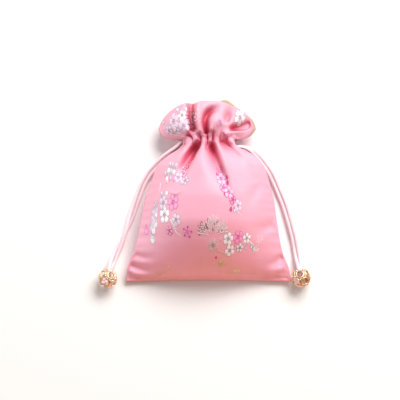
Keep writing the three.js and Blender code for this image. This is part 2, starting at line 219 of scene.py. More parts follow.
FRONT_FOLDS = (
    Fold(
        "middle valley", (1.0, 84), (5.2, 69), (15, 43), 2.0, 4.4, -5.8,
        lean=0.4, fade_in=0.22, fade_out=0.7,
    ),
    Fold(
        "middle pit", (1.6, 82.5), (3.4, 76), (5.6, 68), 2.0, 2.8, -0.8,
        lean=0.3, fade_in=0.4, fade_out=0.6,
    ),
    Fold("middle ridge", (3.4, 84), (9.6, 70), (17.2, 43), 1.5, 3.0, 2.8, fade_in=0.06, fade_out=0.7),
    Fold(
        "left valley", (-5.2, 84), (-10.4, 72.6), (-19, 54), 1.8, 4.2, -6.8,
        lean=0.45, fade_in=0.27, fade_out=0.65,
    ),
    Fold(
        "left pit", (-5.6, 82.5), (-8.6, 76), (-12.5, 69), 1.6, 2.4, -1.2,
        lean=0.3, fade_in=0.4, fade_out=0.6,
    ),
    Fold(
        "left valley floor", (-7.4, 82), (-13.0, 71.5), (-20.5, 57), 1.5, 3.0, -3.4,
        fade_in=0.3, fade_out=0.5,
    ),
    Fold("central puff", (-2.4, 85), (-4.6, 70), (-5, 50), 1.8, 6.6, 2.0, fade_in=0.06),
    Fold("left puff", (-6.4, 85), (-15.6, 77), (-30, 61), 1.7, 4.6, 2.4, fade_in=0.06),
    Fold("left outer valley", (-13.4, 83), (-21, 75.5), (-31, 64), 1.1, 3.0, -1.6),
    Fold(
        "right valley", (7.4, 84), (14.4, 76.4), (27, 61), 1.5, 4.4, -3.8,
        lean=-0.2, fade_in=0.16, fade_out=0.7,
    ),
    Fold("right puff", (11, 85), (20.4, 77), (33, 62), 1.8, 5.0, 2.2, fade_in=0.06),
    Fold("right outer valley", (15.6, 82.6), (24, 75), (34, 64), 1.1, 3.0, -1.5),
    Fold("smile crease", (-25.5, 54.5), (-20, 50.5), (-14, 55.5), 1.0, 1.0, 1.0, sharp=1.4, fade_in=0.4),
    Fold("left corner crease", (-49, 10.8), (-40, 6.5), (-24, 5.5), 1.7, 2.8, -1.6),
    Fold("left corner ridge", (-49, 6.0), (-42, 3.0), (-28, 2.6), 1.5, 2.4, 1.0),
    Fold("left side crease", (-47, 18), (-40, 13.5), (-29, 13.5), 1.7, 2.8, -1.2),
    Fold("right corner crease", (46, 17.5), (41, 11), (28, 8), 1.7, 3.2, -1.5),
    Fold("right corner ridge", (48, 10.5), (43, 6), (33, 4), 1.4, 2.4, 1.0),
    Fold("right side fold", (41, 36), (34, 31), (23, 26), 2.2, 4.6, -1.7, fade_in=0.4),
    Fold("right upper fold", (33, 60), (27, 50), (22, 38), 2.4, 5.0, -1.4, fade_in=0.4),
    Fold(
        "ruffle left valley", (-8.6, 88), (-10.6, 97), (-10.2, 109), 1.6, 2.7, -8.2,
        lean=0.1, fade_in=0.2, fade_out=0.05,
    ),
    Fold("ruffle left ridge", (-5.8, 87), (-7.0, 97), (-6.8, 109), 0.8, 1.2, 2.4, sharp=1.2, fade_out=0.05),
    Fold("ruffle centre lobe", (-3.2, 86), (-4.0, 97), (-1.4, 109), 1.4, 4.0, 1.4, fade_out=0.1),
    Fold("ruffle middle valley", (-1.2, 86.6), (-1.0, 99.2), (11.0, 103.8), 1.3, 2.8, -6.8, fade_in=0.06),
    Fold("ruffle right lobe", (1.6, 88), (4.4, 94.5), (8.4, 99.2), 1.6, 4.6, 2.8),
    Fold(
        "ruffle right hollow", (9.4, 93), (11.4, 99), (12.8, 106), 1.8, 3.2, -3.6,
        fade_in=0.3, fade_out=0.6,
    ),
    Fold(
        "ruffle right valley", (11.0, 90.2), (18, 92.4), (26.5, 94.4), 1.2, 2.4, -9.4,
        fade_in=0.3, fade_out=0.15,
    ),
    Fold("ruffle tip lobe", (9.0, 86.8), (14.4, 88.6), (23, 90.2), 1.3, 2.2, 2.2, fade_out=0.3),
    Fold("ruffle left lobe", (-12, 88), (-17.5, 93), (-23.5, 102), 3.0, 6.0, 2.4),
    Fold("ruffle left low crease", (-10.4, 86.4), (-16, 87.6), (-25.5, 89.8), 0.8, 1.3, -1.8, fade_out=0.3),
)
BACK_FOLDS = (
    Fold("back left flute", (-9, 88), (-12, 98), (-17, 116), 2.6, 5.0, 3.2),
    Fold("back right flute", (6, 88), (8, 98), (11, 116), 2.6, 5.0, 2.6),
    Fold("back neck hollow", (2, 80), (2.6, 72), (4, 62), 3.0, 7.0, 1.8),
    Fold("back left hollow", (-8, 80), (-12, 72), (-20, 60), 2.6, 6.0, 1.6),
    Fold("back right hollow", (11, 80), (15, 72), (22, 62), 2.4, 5.5, 1.5),
)


@dataclass(frozen=True)
class RimReach:
    """Where the rim reaches out (over 0) or dips: its place across, half-width and reach."""

    x: float
    half: float
    reach: float


FRONT_RIM = (RimReach(-7.6, 2.2, -0.8), RimReach(-1.0, 10.0, -1.7), RimReach(14.0, 6.0, -1.6))
BACK_RIM = (RimReach(11.0, 5.0, 3.2),)
# Where the crests of the gathers lie at the neck, from the left seam to the right one
FRONT_CRESTS = (-16.8, -13.4, -8.0, -3.0, 0.9, 4.2, 10.8, 15.4, 17.2)
BACK_CRESTS = (-16.8, -13.0, -9.0, -5.2, -1.0, 3.4, 7.2, 11.4, 14.6, 17.2)


@dataclass(frozen=True)
class Figure:
    """One figure of the woven pattern: its place (x, distance from the hem), size, turn and weft."""

    motif: Motif
    x: float
    hem: float
    size: float
    turn: float
    tint: Tint


@dataclass(frozen=True)
class Twig:
    """A twig of the woven pattern through places (x, distance from the hem), tapering to its end."""

    places: tuple[tuple[float, float], ...]
    width: float
    tint: Tint


# The weft of the fine lines in a figure, by the figure's own weft
OUTLINES = {
    Tint.ROSE: Tint.MAGENTA,
    Tint.ORCHID: Tint.MAGENTA,
    Tint.MAGENTA: Tint.MAGENTA,
    Tint.WHITE: Tint.DOVE,
    Tint.LILAC: Tint.DOVE,
    Tint.SILVER: Tint.INK,
    Tint.GOLD: Tint.GOLD,
}
FRONT_FIGURES = (
    # The branch on the left of the belly
    Figure(Motif.BLOSSOM, -21.2, 45.6, 8.0, 12, Tint.ROSE),
    Figure(Motif.BLOSSOM, -27.5, 45.1, 7.0, -10, Tint.LILAC),
    Figure(Motif.BUD, -25.7, 48.4, 4.0, -4, Tint.WHITE),
    Figure(Motif.BUD, -28.4, 48.8, 3.6, 10, Tint.LILAC),
    Figure(Motif.BUD, -30.6, 46.4, 3.4, 110, Tint.LILAC),
    Figure(Motif.BUD, -32.2, 45.8, 2.6, 140, Tint.WHITE),
    Figure(Motif.BLOSSOM, -26.8, 38.0, 8.2, 0, Tint.WHITE),
    Figure(Motif.BUD, -26.9, 42.4, 2.8, 170, Tint.WHITE),
    Figure(Motif.BLOSSOM, -19.6, 34.8, 6.4, 20, Tint.LILAC),
    Figure(Motif.BLOSSOM, -23.4, 28.4, 4.8, 40, Tint.ORCHID),
    Figure(Motif.RINGED, -12.8, 27.3, 6.2, 20, Tint.MAGENTA),
    # The buds that hang at its left
    Figure(Motif.BUD, -31.6, 45.0, 4.4, 186, Tint.LILAC),
    Figure(Motif.BUD, -33.6, 43.6, 4.2, 190, Tint.LILAC),
    Figure(Motif.BUD, -31.7, 41.8, 4.8, 174, Tint.WHITE),
    Figure(Motif.BUD, -33.9, 40.2, 4.6, 188, Tint.LILAC),
    Figure(Motif.BUD, -32.0, 38.6, 4.6, 172, Tint.LILAC),
    Figure(Motif.BUD, -34.1, 37.0, 4.6, 190, Tint.LILAC),
    Figure(Motif.BUD, -31.8, 36.2, 5.0, 176, Tint.WHITE),
    Figure(Motif.BUD, -33.5, 33.4, 6.0, 184, Tint.WHITE),
    Figure(Motif.BUD, -35.4, 33.6, 4.2, 196, Tint.LILAC),
    Figure(Motif.BUD, -34.6, 28.6, 2.6, 182, Tint.LILAC),
    Figure(Motif.BUD, -33.4, 26.6, 4.8, 160, Tint.WHITE),
    Figure(Motif.BUD, -35.0, 26.6, 4.8, 200, Tint.WHITE),
    Figure(Motif.BUD, -37.9, 33.0, 5.4, 178, Tint.ROSE),
    # The sprays under the left puff
    Figure(Motif.BUD, -24.6, 62.4, 4.4, -6, Tint.WHITE),
    Figure(Motif.BUD, -21.6, 61.8, 3.8, -12, Tint.WHITE),
    Figure(Motif.BUD, -25.6, 57.0, 4.2, 4, Tint.WHITE),
    Figure(Motif.BUD, -22.6, 66.2, 3.4, -16, Tint.LILAC),
    Figure(Motif.BUD, -23.4, 58.0, 3.2, -6, Tint.LILAC),
    Figure(Motif.BUD, -23.9, 66.9, 3.8, -8, Tint.LILAC),
    Figure(Motif.BUD, -20.7, 65.4, 4.0, -18, Tint.LILAC),
    Figure(Motif.BUD, -26.3, 60.8, 3.8, 8, Tint.LILAC),
    Figure(Motif.BUD, -23.0, 62.4, 3.8, -4, Tint.LILAC),
    Figure(Motif.BUD, -21.5, 57.8, 3.6, -10, Tint.ORCHID),
    Figure(Motif.BLOSSOM, -18.4, 60.2, 6.0, 30, Tint.LILAC),
    Figure(Motif.BLOSSOM, -15.2, 62.6, 5.2, 8, Tint.ORCHID),
    Figure(Motif.BLOSSOM, -14.2, 58.2, 4.8, -16, Tint.LILAC),
    Figure(Motif.BUD, -17.2, 55.2, 3.6, -20, Tint.LILAC),
    Figure(Motif.SPECKS, -15.6, 63.8, 7.0, 90, Tint.WHITE),
    Figure(Motif.SPECKS, -13.4, 67.4, 7.0, 50, Tint.ROSE),
    Figure(Motif.SPECKS, -10.8, 71.8, 6.4, 0, Tint.MAGENTA),
    Figure(Motif.SPECKS, -14.4, 65.6, 5.0, 20, Tint.INK),
    # The hatched blossom and the branch on its right
    Figure(Motif.FAN, 2.2, 26.0, 8.4, 4, Tint.SILVER),
    Figure(Motif.SPECKS, -4.6, 29.6, 5.4, 0, Tint.INK),
    Figure(Motif.SPECKS, 8.6, 31.6, 4.4, 30, Tint.SILVER),
    Figure(Motif.DRAWN, 2.6, 19.8, 7.2, 10, Tint.SILVER),
    Figure(Motif.BUD, 4.3, 13.2, 1.8, 180, Tint.MAGENTA),
    Figure(Motif.BLOSSOM, 11.5, 23.3, 6.6, -10, Tint.WHITE),
    Figure(Motif.BLOSSOM, 17.3, 24.6, 6.6, 26, Tint.ROSE),
    Figure(Motif.BLOSSOM, 22.4, 24.3, 5.6, 5, Tint.WHITE),
    Figure(Motif.BUD, 23.0, 20.9, 3.2, 176, Tint.LILAC),
    Figure(Motif.BLOSSOM, 12.4, 17.0, 6.4, 32, Tint.WHITE),
    Figure(Motif.BLOSSOM, 18.1, 18.3, 4.8, 0, Tint.WHITE),
    Figure(Motif.BUD, 25.0, 21.4, 3.0, 200, Tint.WHITE),
    Figure(Motif.BUD, 27.0, 20.4, 3.2, 196, Tint.WHITE),
    Figure(Motif.BUD, 15.2, 20.4, 2.4, 150, Tint.LILAC),
    Figure(Motif.SPECKS, 27.8, 17.0, 3.4, 0, Tint.WHITE),
    Figure(Motif.SPECKS, 30.4, 22.2, 5.2, 30, Tint.WHITE),
    # Gold figures above the hem
    Figure(Motif.DRAWN, 7.8, 9.4, 5.4, 15, Tint.GOLD),
    Figure(Motif.SIDE, 15.8, 3.6, 4.4, 0, Tint.GOLD),
    Figure(Motif.SPECKS, 14.6, 3.6, 4.6, 0, Tint.GOLD),
    Figure(Motif.SPECKS, -30.8, 2.6, 4.4, 0, Tint.GOLD),
    # The rose branch right of the middle
    Figure(Motif.BUD, 4.4, 63.0, 2.6, 200, Tint.MAGENTA),
    Figure(Motif.BLOSSOM, 7.4, 59.2, 6.6, 0, Tint.ORCHID),
    Figure(Motif.BUD, 10.4, 61.4, 2.4, 190, Tint.MAGENTA),
    Figure(Motif.BUD, 11.2, 58.4, 2.6, 170, Tint.MAGENTA),
    Figure(Motif.BLOSSOM, 8.8, 54.0, 5.0, 20, Tint.ROSE),
    Figure(Motif.BLOSSOM, 11.9, 50.8, 6.2, -12, Tint.ORCHID),
    Figure(Motif.BUD, 9.2, 51.0, 1.9, 170, Tint.MAGENTA),
    Figure(Motif.BUD, 14.3, 49.4, 2.0, 180, Tint.MAGENTA),
    Figure(Motif.BLOSSOM, 13.8, 46.6, 4.6, 15, Tint.ROSE),
    Figure(Motif.BLOSSOM, 16.9, 43.2, 5.6, 10, Tint.LILAC),
    Figure(Motif.BUD, 13.3, 42.4, 2.8, 170, Tint.MAGENTA),
    Figure(Motif.BUD, 14.7, 42.2, 2.6, 196, Tint.WHITE),
    Figure(Motif.SPECKS, 3.8, 66.6, 6.0, 20, Tint.ROSE),
    Figure(Motif.SPECKS, 6.4, 64.0, 5.0, 50, Tint.MAGENTA),
    # The ruffle
    Figure(Motif.BLOSSOM, -21.2, 95.6, 8.4, 0, Tint.LILAC),
    Figure(Motif.BLOSSOM, -14.9, 92.6, 7.2, 20, Tint.LILAC),
    Figure(Motif.BLOSSOM, -16.2, 99.0, 5.6, 10, Tint.WHITE),
    Figure(Motif.BUD, -13.6, 100.6, 3.6, -14, Tint.WHITE),
    Figure(Motif.BUD, -18.4, 100.6, 3.4, 10, Tint.WHITE),
    Figure(Motif.BLOSSOM, -24.2, 90.6, 5.6, 15, Tint.LILAC),
    Figure(Motif.BLOSSOM, -19.4, 89.8, 5.0, -15, Tint.WHITE),
    Figure(Motif.BUD, -26.4, 94.6, 3.4, 30, Tint.LILAC),
    Figure(Motif.BUD, -17.8, 94.4, 3.0, -40, Tint.WHITE),
    Figure(Motif.SPECKS, -11.8, 100.6, 8.0, 0, Tint.SILVER),
    Figure(Motif.SPECKS, -10.6, 96.4, 8.0, 40, Tint.WHITE),
    Figure(Motif.SPECKS, -9.4, 92.0, 6.6, 80, Tint.SILVER),
    Figure(Motif.SPECKS, -9.8, 98.4, 6.0, 20, Tint.INK),
    Figure(Motif.SPECKS, -6.4, 97.4, 6.6, 60, Tint.SILVER),
    Figure(Motif.BLOSSOM, 18.8, 98.2, 8.2, -14, Tint.WHITE),
    Figure(Motif.SPECKS, 20.6, 100.0, 4.6, 0, Tint.SILVER),
    Figure(Motif.DRAWN, 6.6, 94.2, 6.2, 10, Tint.ORCHID),
)
FRONT_TWIGS = (
    Twig(((-23.0, 35.0), (-20.6, 30.6), (-19.6, 27.6), (-16.8, 25.4)), 0.8, Tint.WHITE),
    Twig(((-22.4, 35.6), (-20.0, 31.2), (-18.6, 28.0)), 0.4, Tint.SILVER),
    Twig(((-21.4, 70.4), (-22.8, 66.0), (-23.4, 61.4)), 0.6, Tint.SILVER),
    Twig(((-23.6, 66.6), (-24.4, 61.6), (-24.8, 57.6)), 0.5, Tint.SILVER),
    Twig(((-29.0, 58.0), (-29.6, 53.6), (-29.2, 50.4)), 0.7, Tint.LILAC),
    Twig(((3.2, 24.2), (3.0, 18.0), (4.2, 13.6)), 0.5, Tint.SILVER),
    Twig(((5.0, 17.0), (9.0, 15.2), (12.6, 13.4)), 0.5, Tint.SILVER),
    Twig(((5.6, 23.6), (8.0, 22.6), (9.6, 22.4)), 0.4, Tint.SILVER),
    Twig(((24.0, 22.6), (26.0, 20.8), (28.4, 17.4)), 0.6, Tint.WHITE),
    Twig(((6.0, 62.4), (10.4, 55.0), (13.6, 47.4), (16.0, 43.0)), 0.5, Tint.ROSE),
    Twig(((15.6, 42.4), (17.4, 39.4), (19.4, 36.6)), 0.8, Tint.LILAC),
    Twig(((14.2, 13.2), (14.4, 10.6), (14.2, 8.6)), 0.4, Tint.GOLD),
    Twig(((-23.6, 8.0), (-26.6, 5.4), (-29.4, 3.2)), 0.6, Tint.GOLD),
    Twig(((-22.6, 88.2), (-18.4, 86.9), (-14.4, 85.9)), 0.6, Tint.GOLD),
    Twig(((-27.6, 92.0), (-26.0, 95.0), (-22.6, 98.6)), 0.6, Tint.LILAC),
    Twig(((-21.0, 92.8), (-17.0, 93.8), (-13.6, 93.0)), 0.6, Tint.WHITE),
)
BACK_FIGURES = (
    Figure(Motif.BLOSSOM, -18.0, 44.0, 8.0, 0, Tint.WHITE),
    Figure(Motif.BLOSSOM, -10.6, 40.0, 7.0, 25, Tint.ROSE),
    Figure(Motif.SIDE, -13.0, 33.0, 5.0, 170, Tint.LILAC),
    Figure(Motif.BUD, -22.0, 36.0, 4.4, 190, Tint.MAGENTA),
    Figure(Motif.DRAWN, 8.0, 28.0, 8.4, 10, Tint.SILVER),
    Figure(Motif.DRAWN, 15.6, 23.0, 7.6, -20, Tint.SILVER),
    Figure(Motif.BLOSSOM, 22.0, 30.0, 7.0, 15, Tint.WHITE),
    Figure(Motif.BLOSSOM, 26.0, 22.6, 6.4, -8, Tint.ROSE),
    Figure(Motif.BUD, 30.0, 15.6, 4.2, 200, Tint.WHITE),
    Figure(Motif.BLOSSOM, 8.0, 60.0, 7.4, 12, Tint.MAGENTA),
    Figure(Motif.SIDE, 14.0, 53.0, 5.2, 190, Tint.WHITE),
    Figure(Motif.LEAF, -26.0, 57.0, 6.4, 20, Tint.LILAC),
    Figure(Motif.BLOSSOM, -29.0, 18.0, 7.0, 5, Tint.LILAC),
    Figure(Motif.SIDE, -22.0, 12.0, 5.0, 160, Tint.WHITE),
)
BACK_TWIGS = (
    Twig(((-20.0, 48.0), (-15.0, 38.0), (-13.4, 34.0)), 0.7, Tint.WHITE),
    Twig(((6.0, 31.0), (14.0, 26.0), (24.0, 24.0), (30.0, 17.0)), 0.6, Tint.SILVER),
    Twig(((7.0, 63.0), (11.0, 57.0), (14.4, 52.0)), 0.6, Tint.ROSE),
    Twig(((-31.0, 21.0), (-26.0, 15.0), (-21.6, 11.0)), 0.6, Tint.LILAC),
)


@dataclass(frozen=True)
class TailPlace:
    """A place of a pair of cord tails: the middle of the pair, and the pair's turn about its line."""

    x: float
    station: float
    z: float
    roll: float


LEFT_TAILS = (
    TailPlace(-16.6, 83.4, 12.2, 90),
    TailPlace(-20.1, 80.4, 11.7, 84),
    TailPlace(-24.2, 77.2, 10.0, 60),
    TailPlace(-28.5, 73.6, 7.0, 32),
    TailPlace(-32.8, 69.5, 4.0, 12),
    TailPlace(-36.8, 65.2, 2.0, 0),
    TailPlace(-40.6, 59.0, 1.4, 0),
    TailPlace(-43.3, 52.0, 1.4, 0),
    TailPlace(-45.8, 44.8, 1.5, 10),
    TailPlace(-48.1, 37.5, 2.0, 40),
    TailPlace(-50.7, 30.2, 2.5, 90),
    TailPlace(-53.8, 22.9, 2.0, 140),
    TailPlace(-57.0, 16.0, 1.8, 172),
    TailPlace(-58.9, 11.0, 3.2, 206),
    TailPlace(-60.0, 7.2, 5.2, 240),
    TailPlace(-60.75, 4.35, 5.9, 255),
    TailPlace(-61.3, 2.4, 6.2, 260),
)
RIGHT_TAILS = (
    TailPlace(17.0, 80.6, 12.2, 90),
    TailPlace(21.2, 80.6, 11.7, 78),
    TailPlace(25.8, 79.0, 9.7, 50),
    TailPlace(30.2, 75.4, 6.8, 24),
    TailPlace(34.8, 70.2, 3.8, 8),
    TailPlace(39.2, 63.6, 1.9, 0),
    TailPlace(43.2, 54.6, 1.4, 0),
    TailPlace(46.4, 46.7, 1.4, 0),
    TailPlace(48.6, 39.6, 1.5, 8),
    TailPlace(50.5, 32.8, 1.6, 14),
    TailPlace(52.6, 24.0, 1.5, 6),
    TailPlace(53.9, 16.4, 1.7, 0),
    TailPlace(54.9, 11.2, 3.2, 18),
    TailPlace(55.5, 7.4, 5.2, 44),
    TailPlace(55.77, 4.72, 5.9, 55),
    TailPlace(55.95, 2.8, 6.2, 58),
)


# Small mathematics shared by the pieces


def column(table: tuple, name: str, stations: np.ndarray) -> np.ndarray:
    """Read a column of a table on a smooth curve that never overshoots its rows.

    Args:
        table: rows with a station, in rising order.
        name: the column's name.
        stations: where to read it.

    Returns:
        The values, in the shape of stations.
    """
    at = np.array([row.station for row in table])
    values = np.array([getattr(row, name) for row in table])
    slopes = np.diff(values) / np.diff(at)
    product = slopes[:-1] * slopes[1:]
    total = slopes[:-1] + slopes[1:]
    inner = np.where(product > 0, 2 * product / np.where(total == 0, 1, total), 0)
    tangents = np.concatenate([slopes[:1], inner, slopes[-1:]])
    s = np.clip(stations, at[0], at[-1])
    k = np.clip(np.searchsorted(at, s, side="right") - 1, 0, len(at) - 2)
    span = at[k + 1] - at[k]
    t = (s - at[k]) / span
    ends = values[k] * (1 + 2 * t) * (1 - t) ** 2 + values[k + 1] * t * t * (3 - 2 * t)
    return ends + span * t * (1 - t) * (tangents[k] * (1 - t) - tangents[k + 1] * t)


def smooth(share: np.ndarray) -> np.ndarray:
    """Ease a share from 0 to 1, level at both ends."""
    t = np.clip(share, 0, 1)
    return t * t * (3 - 2 * t)


def hump(offset: np.ndarray, half: float) -> np.ndarray:
    """Rise to 1 where the offset is 0 and fall off over half on each side."""
    return np.exp(-((offset / half) ** 2))


def unit(vectors: np.ndarray) -> np.ndarray:
    """Scale vectors along the last axis to length 1."""
    return vectors / np.maximum(np.linalg.norm(vectors, axis=-1, keepdims=True), 1e-12)


def between(t: np.ndarray, start: float, end: float, first: np.ndarray, last: np.ndarray) -> np.ndarray:
    """Go from the first point, at step start, to the last one, at step end, in step with t."""
    return (end - t) / (end - start) * first + (t - start) / (end - start) * last


def centripetal(points: np.ndarray, step: float) -> np.ndarray:
    """Run a smooth curve through points.

    Args:
        points: the points, one a row.
        step: about how far apart the returned points lie.

    Returns:
        Points along the curve, its two ends among them.
    """
    ghost = np.vstack([2 * points[0] - points[1], points, 2 * points[-1] - points[-2]])
    found = []
    for a, b, c, d in zip(ghost, ghost[1:], ghost[2:], ghost[3:]):
        gaps = [max(np.linalg.norm(q - p), 1e-9) ** 0.5 for p, q in ((a, b), (b, c), (c, d))]
        k0, k1, k2, k3 = np.cumsum([0.0] + gaps)
        count = max(2, round(float(np.linalg.norm(c - b)) / step))
        t = np.linspace(k1, k2, count, endpoint=False)[:, None]
        ab = between(t, k0, k1, a, b)
        bc = between(t, k1, k2, b, c)
        cd = between(t, k2, k3, c, d)
        abc = between(t, k0, k2, ab, bc)
        bcd = between(t, k1, k3, bc, cd)
        found.append(between(t, k1, k2, abc, bcd))
    return np.vstack([*found, points[-1:]])


def run_along(points: np.ndarray) -> np.ndarray:
    """Measure how far along a line each of its points lies."""
    return np.concatenate([[0], np.cumsum(np.linalg.norm(np.diff(points, axis=0), axis=1))])


def path_length(points: np.ndarray) -> float:
    """Measure a line through points."""
    return float(np.linalg.norm(np.diff(points, axis=0), axis=1).sum())


def border_of(rows: int, columns: int) -> np.ndarray:
    """Number the points on the border of a grid, in order round it."""
    index = np.arange(rows * columns).reshape(rows, columns)
    return np.concatenate([index[0, :], index[1:, -1], index[-1, -2::-1], index[-2:0:-1, 0]])


def outward(grid: np.ndarray, side: int) -> np.ndarray:
    """Find the normals of a grid of points; side is 1 where it looks up, -1 where it looks down."""
    return side * unit(np.cross(np.gradient(grid, axis=1), np.gradient(grid, axis=0)))


# Blender helpers


def linear(hex_colour: str) -> tuple[float, float, float, float]:
    """Turn an sRGB hex colour into linear red, green, blue and an alpha of 1.

    Args:
        hex_colour: six hex digits.

    Returns:
        The four shares.
    """
    shares = [int(hex_colour[k : k + 2], 16) / 255 for k in (0, 2, 4)]
    red, green, blue = [c / 12.92 if c <= 0.04045 else ((c + 0.055) / 1.055) ** 2.4 for c in shares]
    return (red, green, blue, 1.0)


def add_node(
    tree: bpy.types.NodeTree, kind: str, inputs: dict | None = None, **settings: str | int
) -> bpy.types.Node:
    """Add a node to a tree.

    Args:
        tree: the node tree.
        kind: the node's type.
        inputs: input names or numbers, each with a value or the output socket that feeds it.
        settings: the node's own properties.

    Returns:
        The node.
    """
    node = tree.nodes.new(kind)
    for name, value in settings.items():
        setattr(node, name, value)
    for key, value in (inputs or {}).items():
        if isinstance(value, bpy.types.NodeSocket):
            tree.links.new(value, node.inputs[key])
        else:
            node.inputs[key].default_value = value
    return node


def make_mesh(
    name: str,
    points: np.ndarray,
    faces: list | np.ndarray,
    uv: np.ndarray | None = None,
    tints: np.ndarray | None = None,
) -> bpy.types.Object:
    """Make a smooth-shaded mesh object.

    Args:
        name: the object's name.
        points: its points in millimetres, one a row.
        faces: its faces as point numbers.
        uv: a UV place for each point, in millimetres of cloth.
        tints: a material number for each face.

    Returns:
        The object, linked to the scene.
    """
    mesh = bpy.data.meshes.new(name)
    mesh.from_pydata((points * MM).tolist(), [], [list(map(int, f)) for f in faces])
    mesh.update()
    mesh.polygons.foreach_set("use_smooth", np.ones(len(mesh.polygons), dtype=bool))
    if uv is not None:
        corners = np.empty(len(mesh.loops), dtype=np.int32)
        mesh.loops.foreach_get("vertex_index", corners)
        layer = mesh.uv_layers.new(name=UV_NAME)
        layer.data.foreach_set("uv", uv[corners].astype(np.float32).ravel())
    if tints is not None:
        mesh.polygons.foreach_set("material_index", tints.astype(np.int32))
    made = bpy.data.objects.new(name, mesh)
    bpy.context.scene.collection.objects.link(made)
    return made


def tube(name: str, path: np.ndarray, radius: float, sides: int, closed: bool = False) -> bpy.types.Object:
    """Make a round cord along a path.

    Args:
        name: the object's name.
        path: points along its middle, in millimetres.
        radius: half its thickness, in millimetres.
        sides: points round it.
        closed: whether its end joins its start.

    Returns:
        The cord, with its ends closed where it has ends.
    """
    count = len(path)
    if closed:
        ahead = unit(np.roll(path, -1, axis=0) - np.roll(path, 1, axis=0))
    else:
        ahead = unit(np.gradient(path, axis=0))
    beside = np.empty_like(path)
    start = np.cross(ahead[0], UP)
    beside[0] = unit(start if np.linalg.norm(start) > 1e-3 else np.array((1.0, 0.0, 0.0)))
    for k in range(1, count):
        beside[k] = unit(beside[k - 1] - ahead[k] * (beside[k - 1] @ ahead[k]))
    above = np.cross(beside, ahead)
    turn = 2 * np.pi * np.arange(sides) / sides
    ring = np.cos(turn)[None, :, None] * beside[:, None] + np.sin(turn)[None, :, None] * above[:, None]
    points = (path[:, None] + radius * ring).reshape(-1, 3)
    run = run_along(path)
    u = np.broadcast_to(2 * np.abs(np.arange(sides) / sides - 0.5) * np.pi * radius, (count, sides))
    uv = np.stack([u, np.broadcast_to(run[:, None], (count, sides))], axis=-1).reshape(-1, 2)
    faces = []
    for k in range(count if closed else count - 1):
        after = (k + 1) % count
        for s in range(sides):
            t = (s + 1) % sides
            faces.append((k * sides + s, k * sides + t, after * sides + t, after * sides + s))
    if not closed:
        tip = CORD_TIP * radius
        points = np.vstack([points, path[0] - tip * ahead[0], path[-1] + tip * ahead[-1]])
        uv = np.vstack([uv, [[0, run[0]], [0, run[-1]]]])
        for s in range(sides):
            t = (s + 1) % sides
            faces.append((t, s, count * sides))
            faces.append(((count - 1) * sides + s, (count - 1) * sides + t, count * sides + 1))
    return make_mesh(name, points, faces, uv)


# Finishes


class Finish(ABC):
    """A finish that can be put on a piece."""

    name: str

    @abstractmethod
    def shader(self, tree: bpy.types.NodeTree) -> bpy.types.Node:
        """Lay the finish's nodes in a tree and return its shader."""

    def build(self) -> bpy.types.Material:
        """Make the finish's material.

        Returns:
            The material.
        """
        material = bpy.data.materials.new(self.name)
        material.use_nodes = True
        tree = material.node_tree
        tree.nodes.clear()
        add_node(tree, "ShaderNodeOutputMaterial", {0: self.shader(tree).outputs[0]})
        return material


def wear(piece: bpy.types.Object, *finishes: Finish) -> None:
    """Give a piece its finishes, in the order of its faces' material numbers."""
    for finish in finishes:
        piece.data.materials.append(bpy.data.materials[finish.name])


def hand_over(piece: bpy.types.Object, node: str) -> None:
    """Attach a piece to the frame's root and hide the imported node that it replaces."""
    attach(piece, "root")
    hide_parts(node)


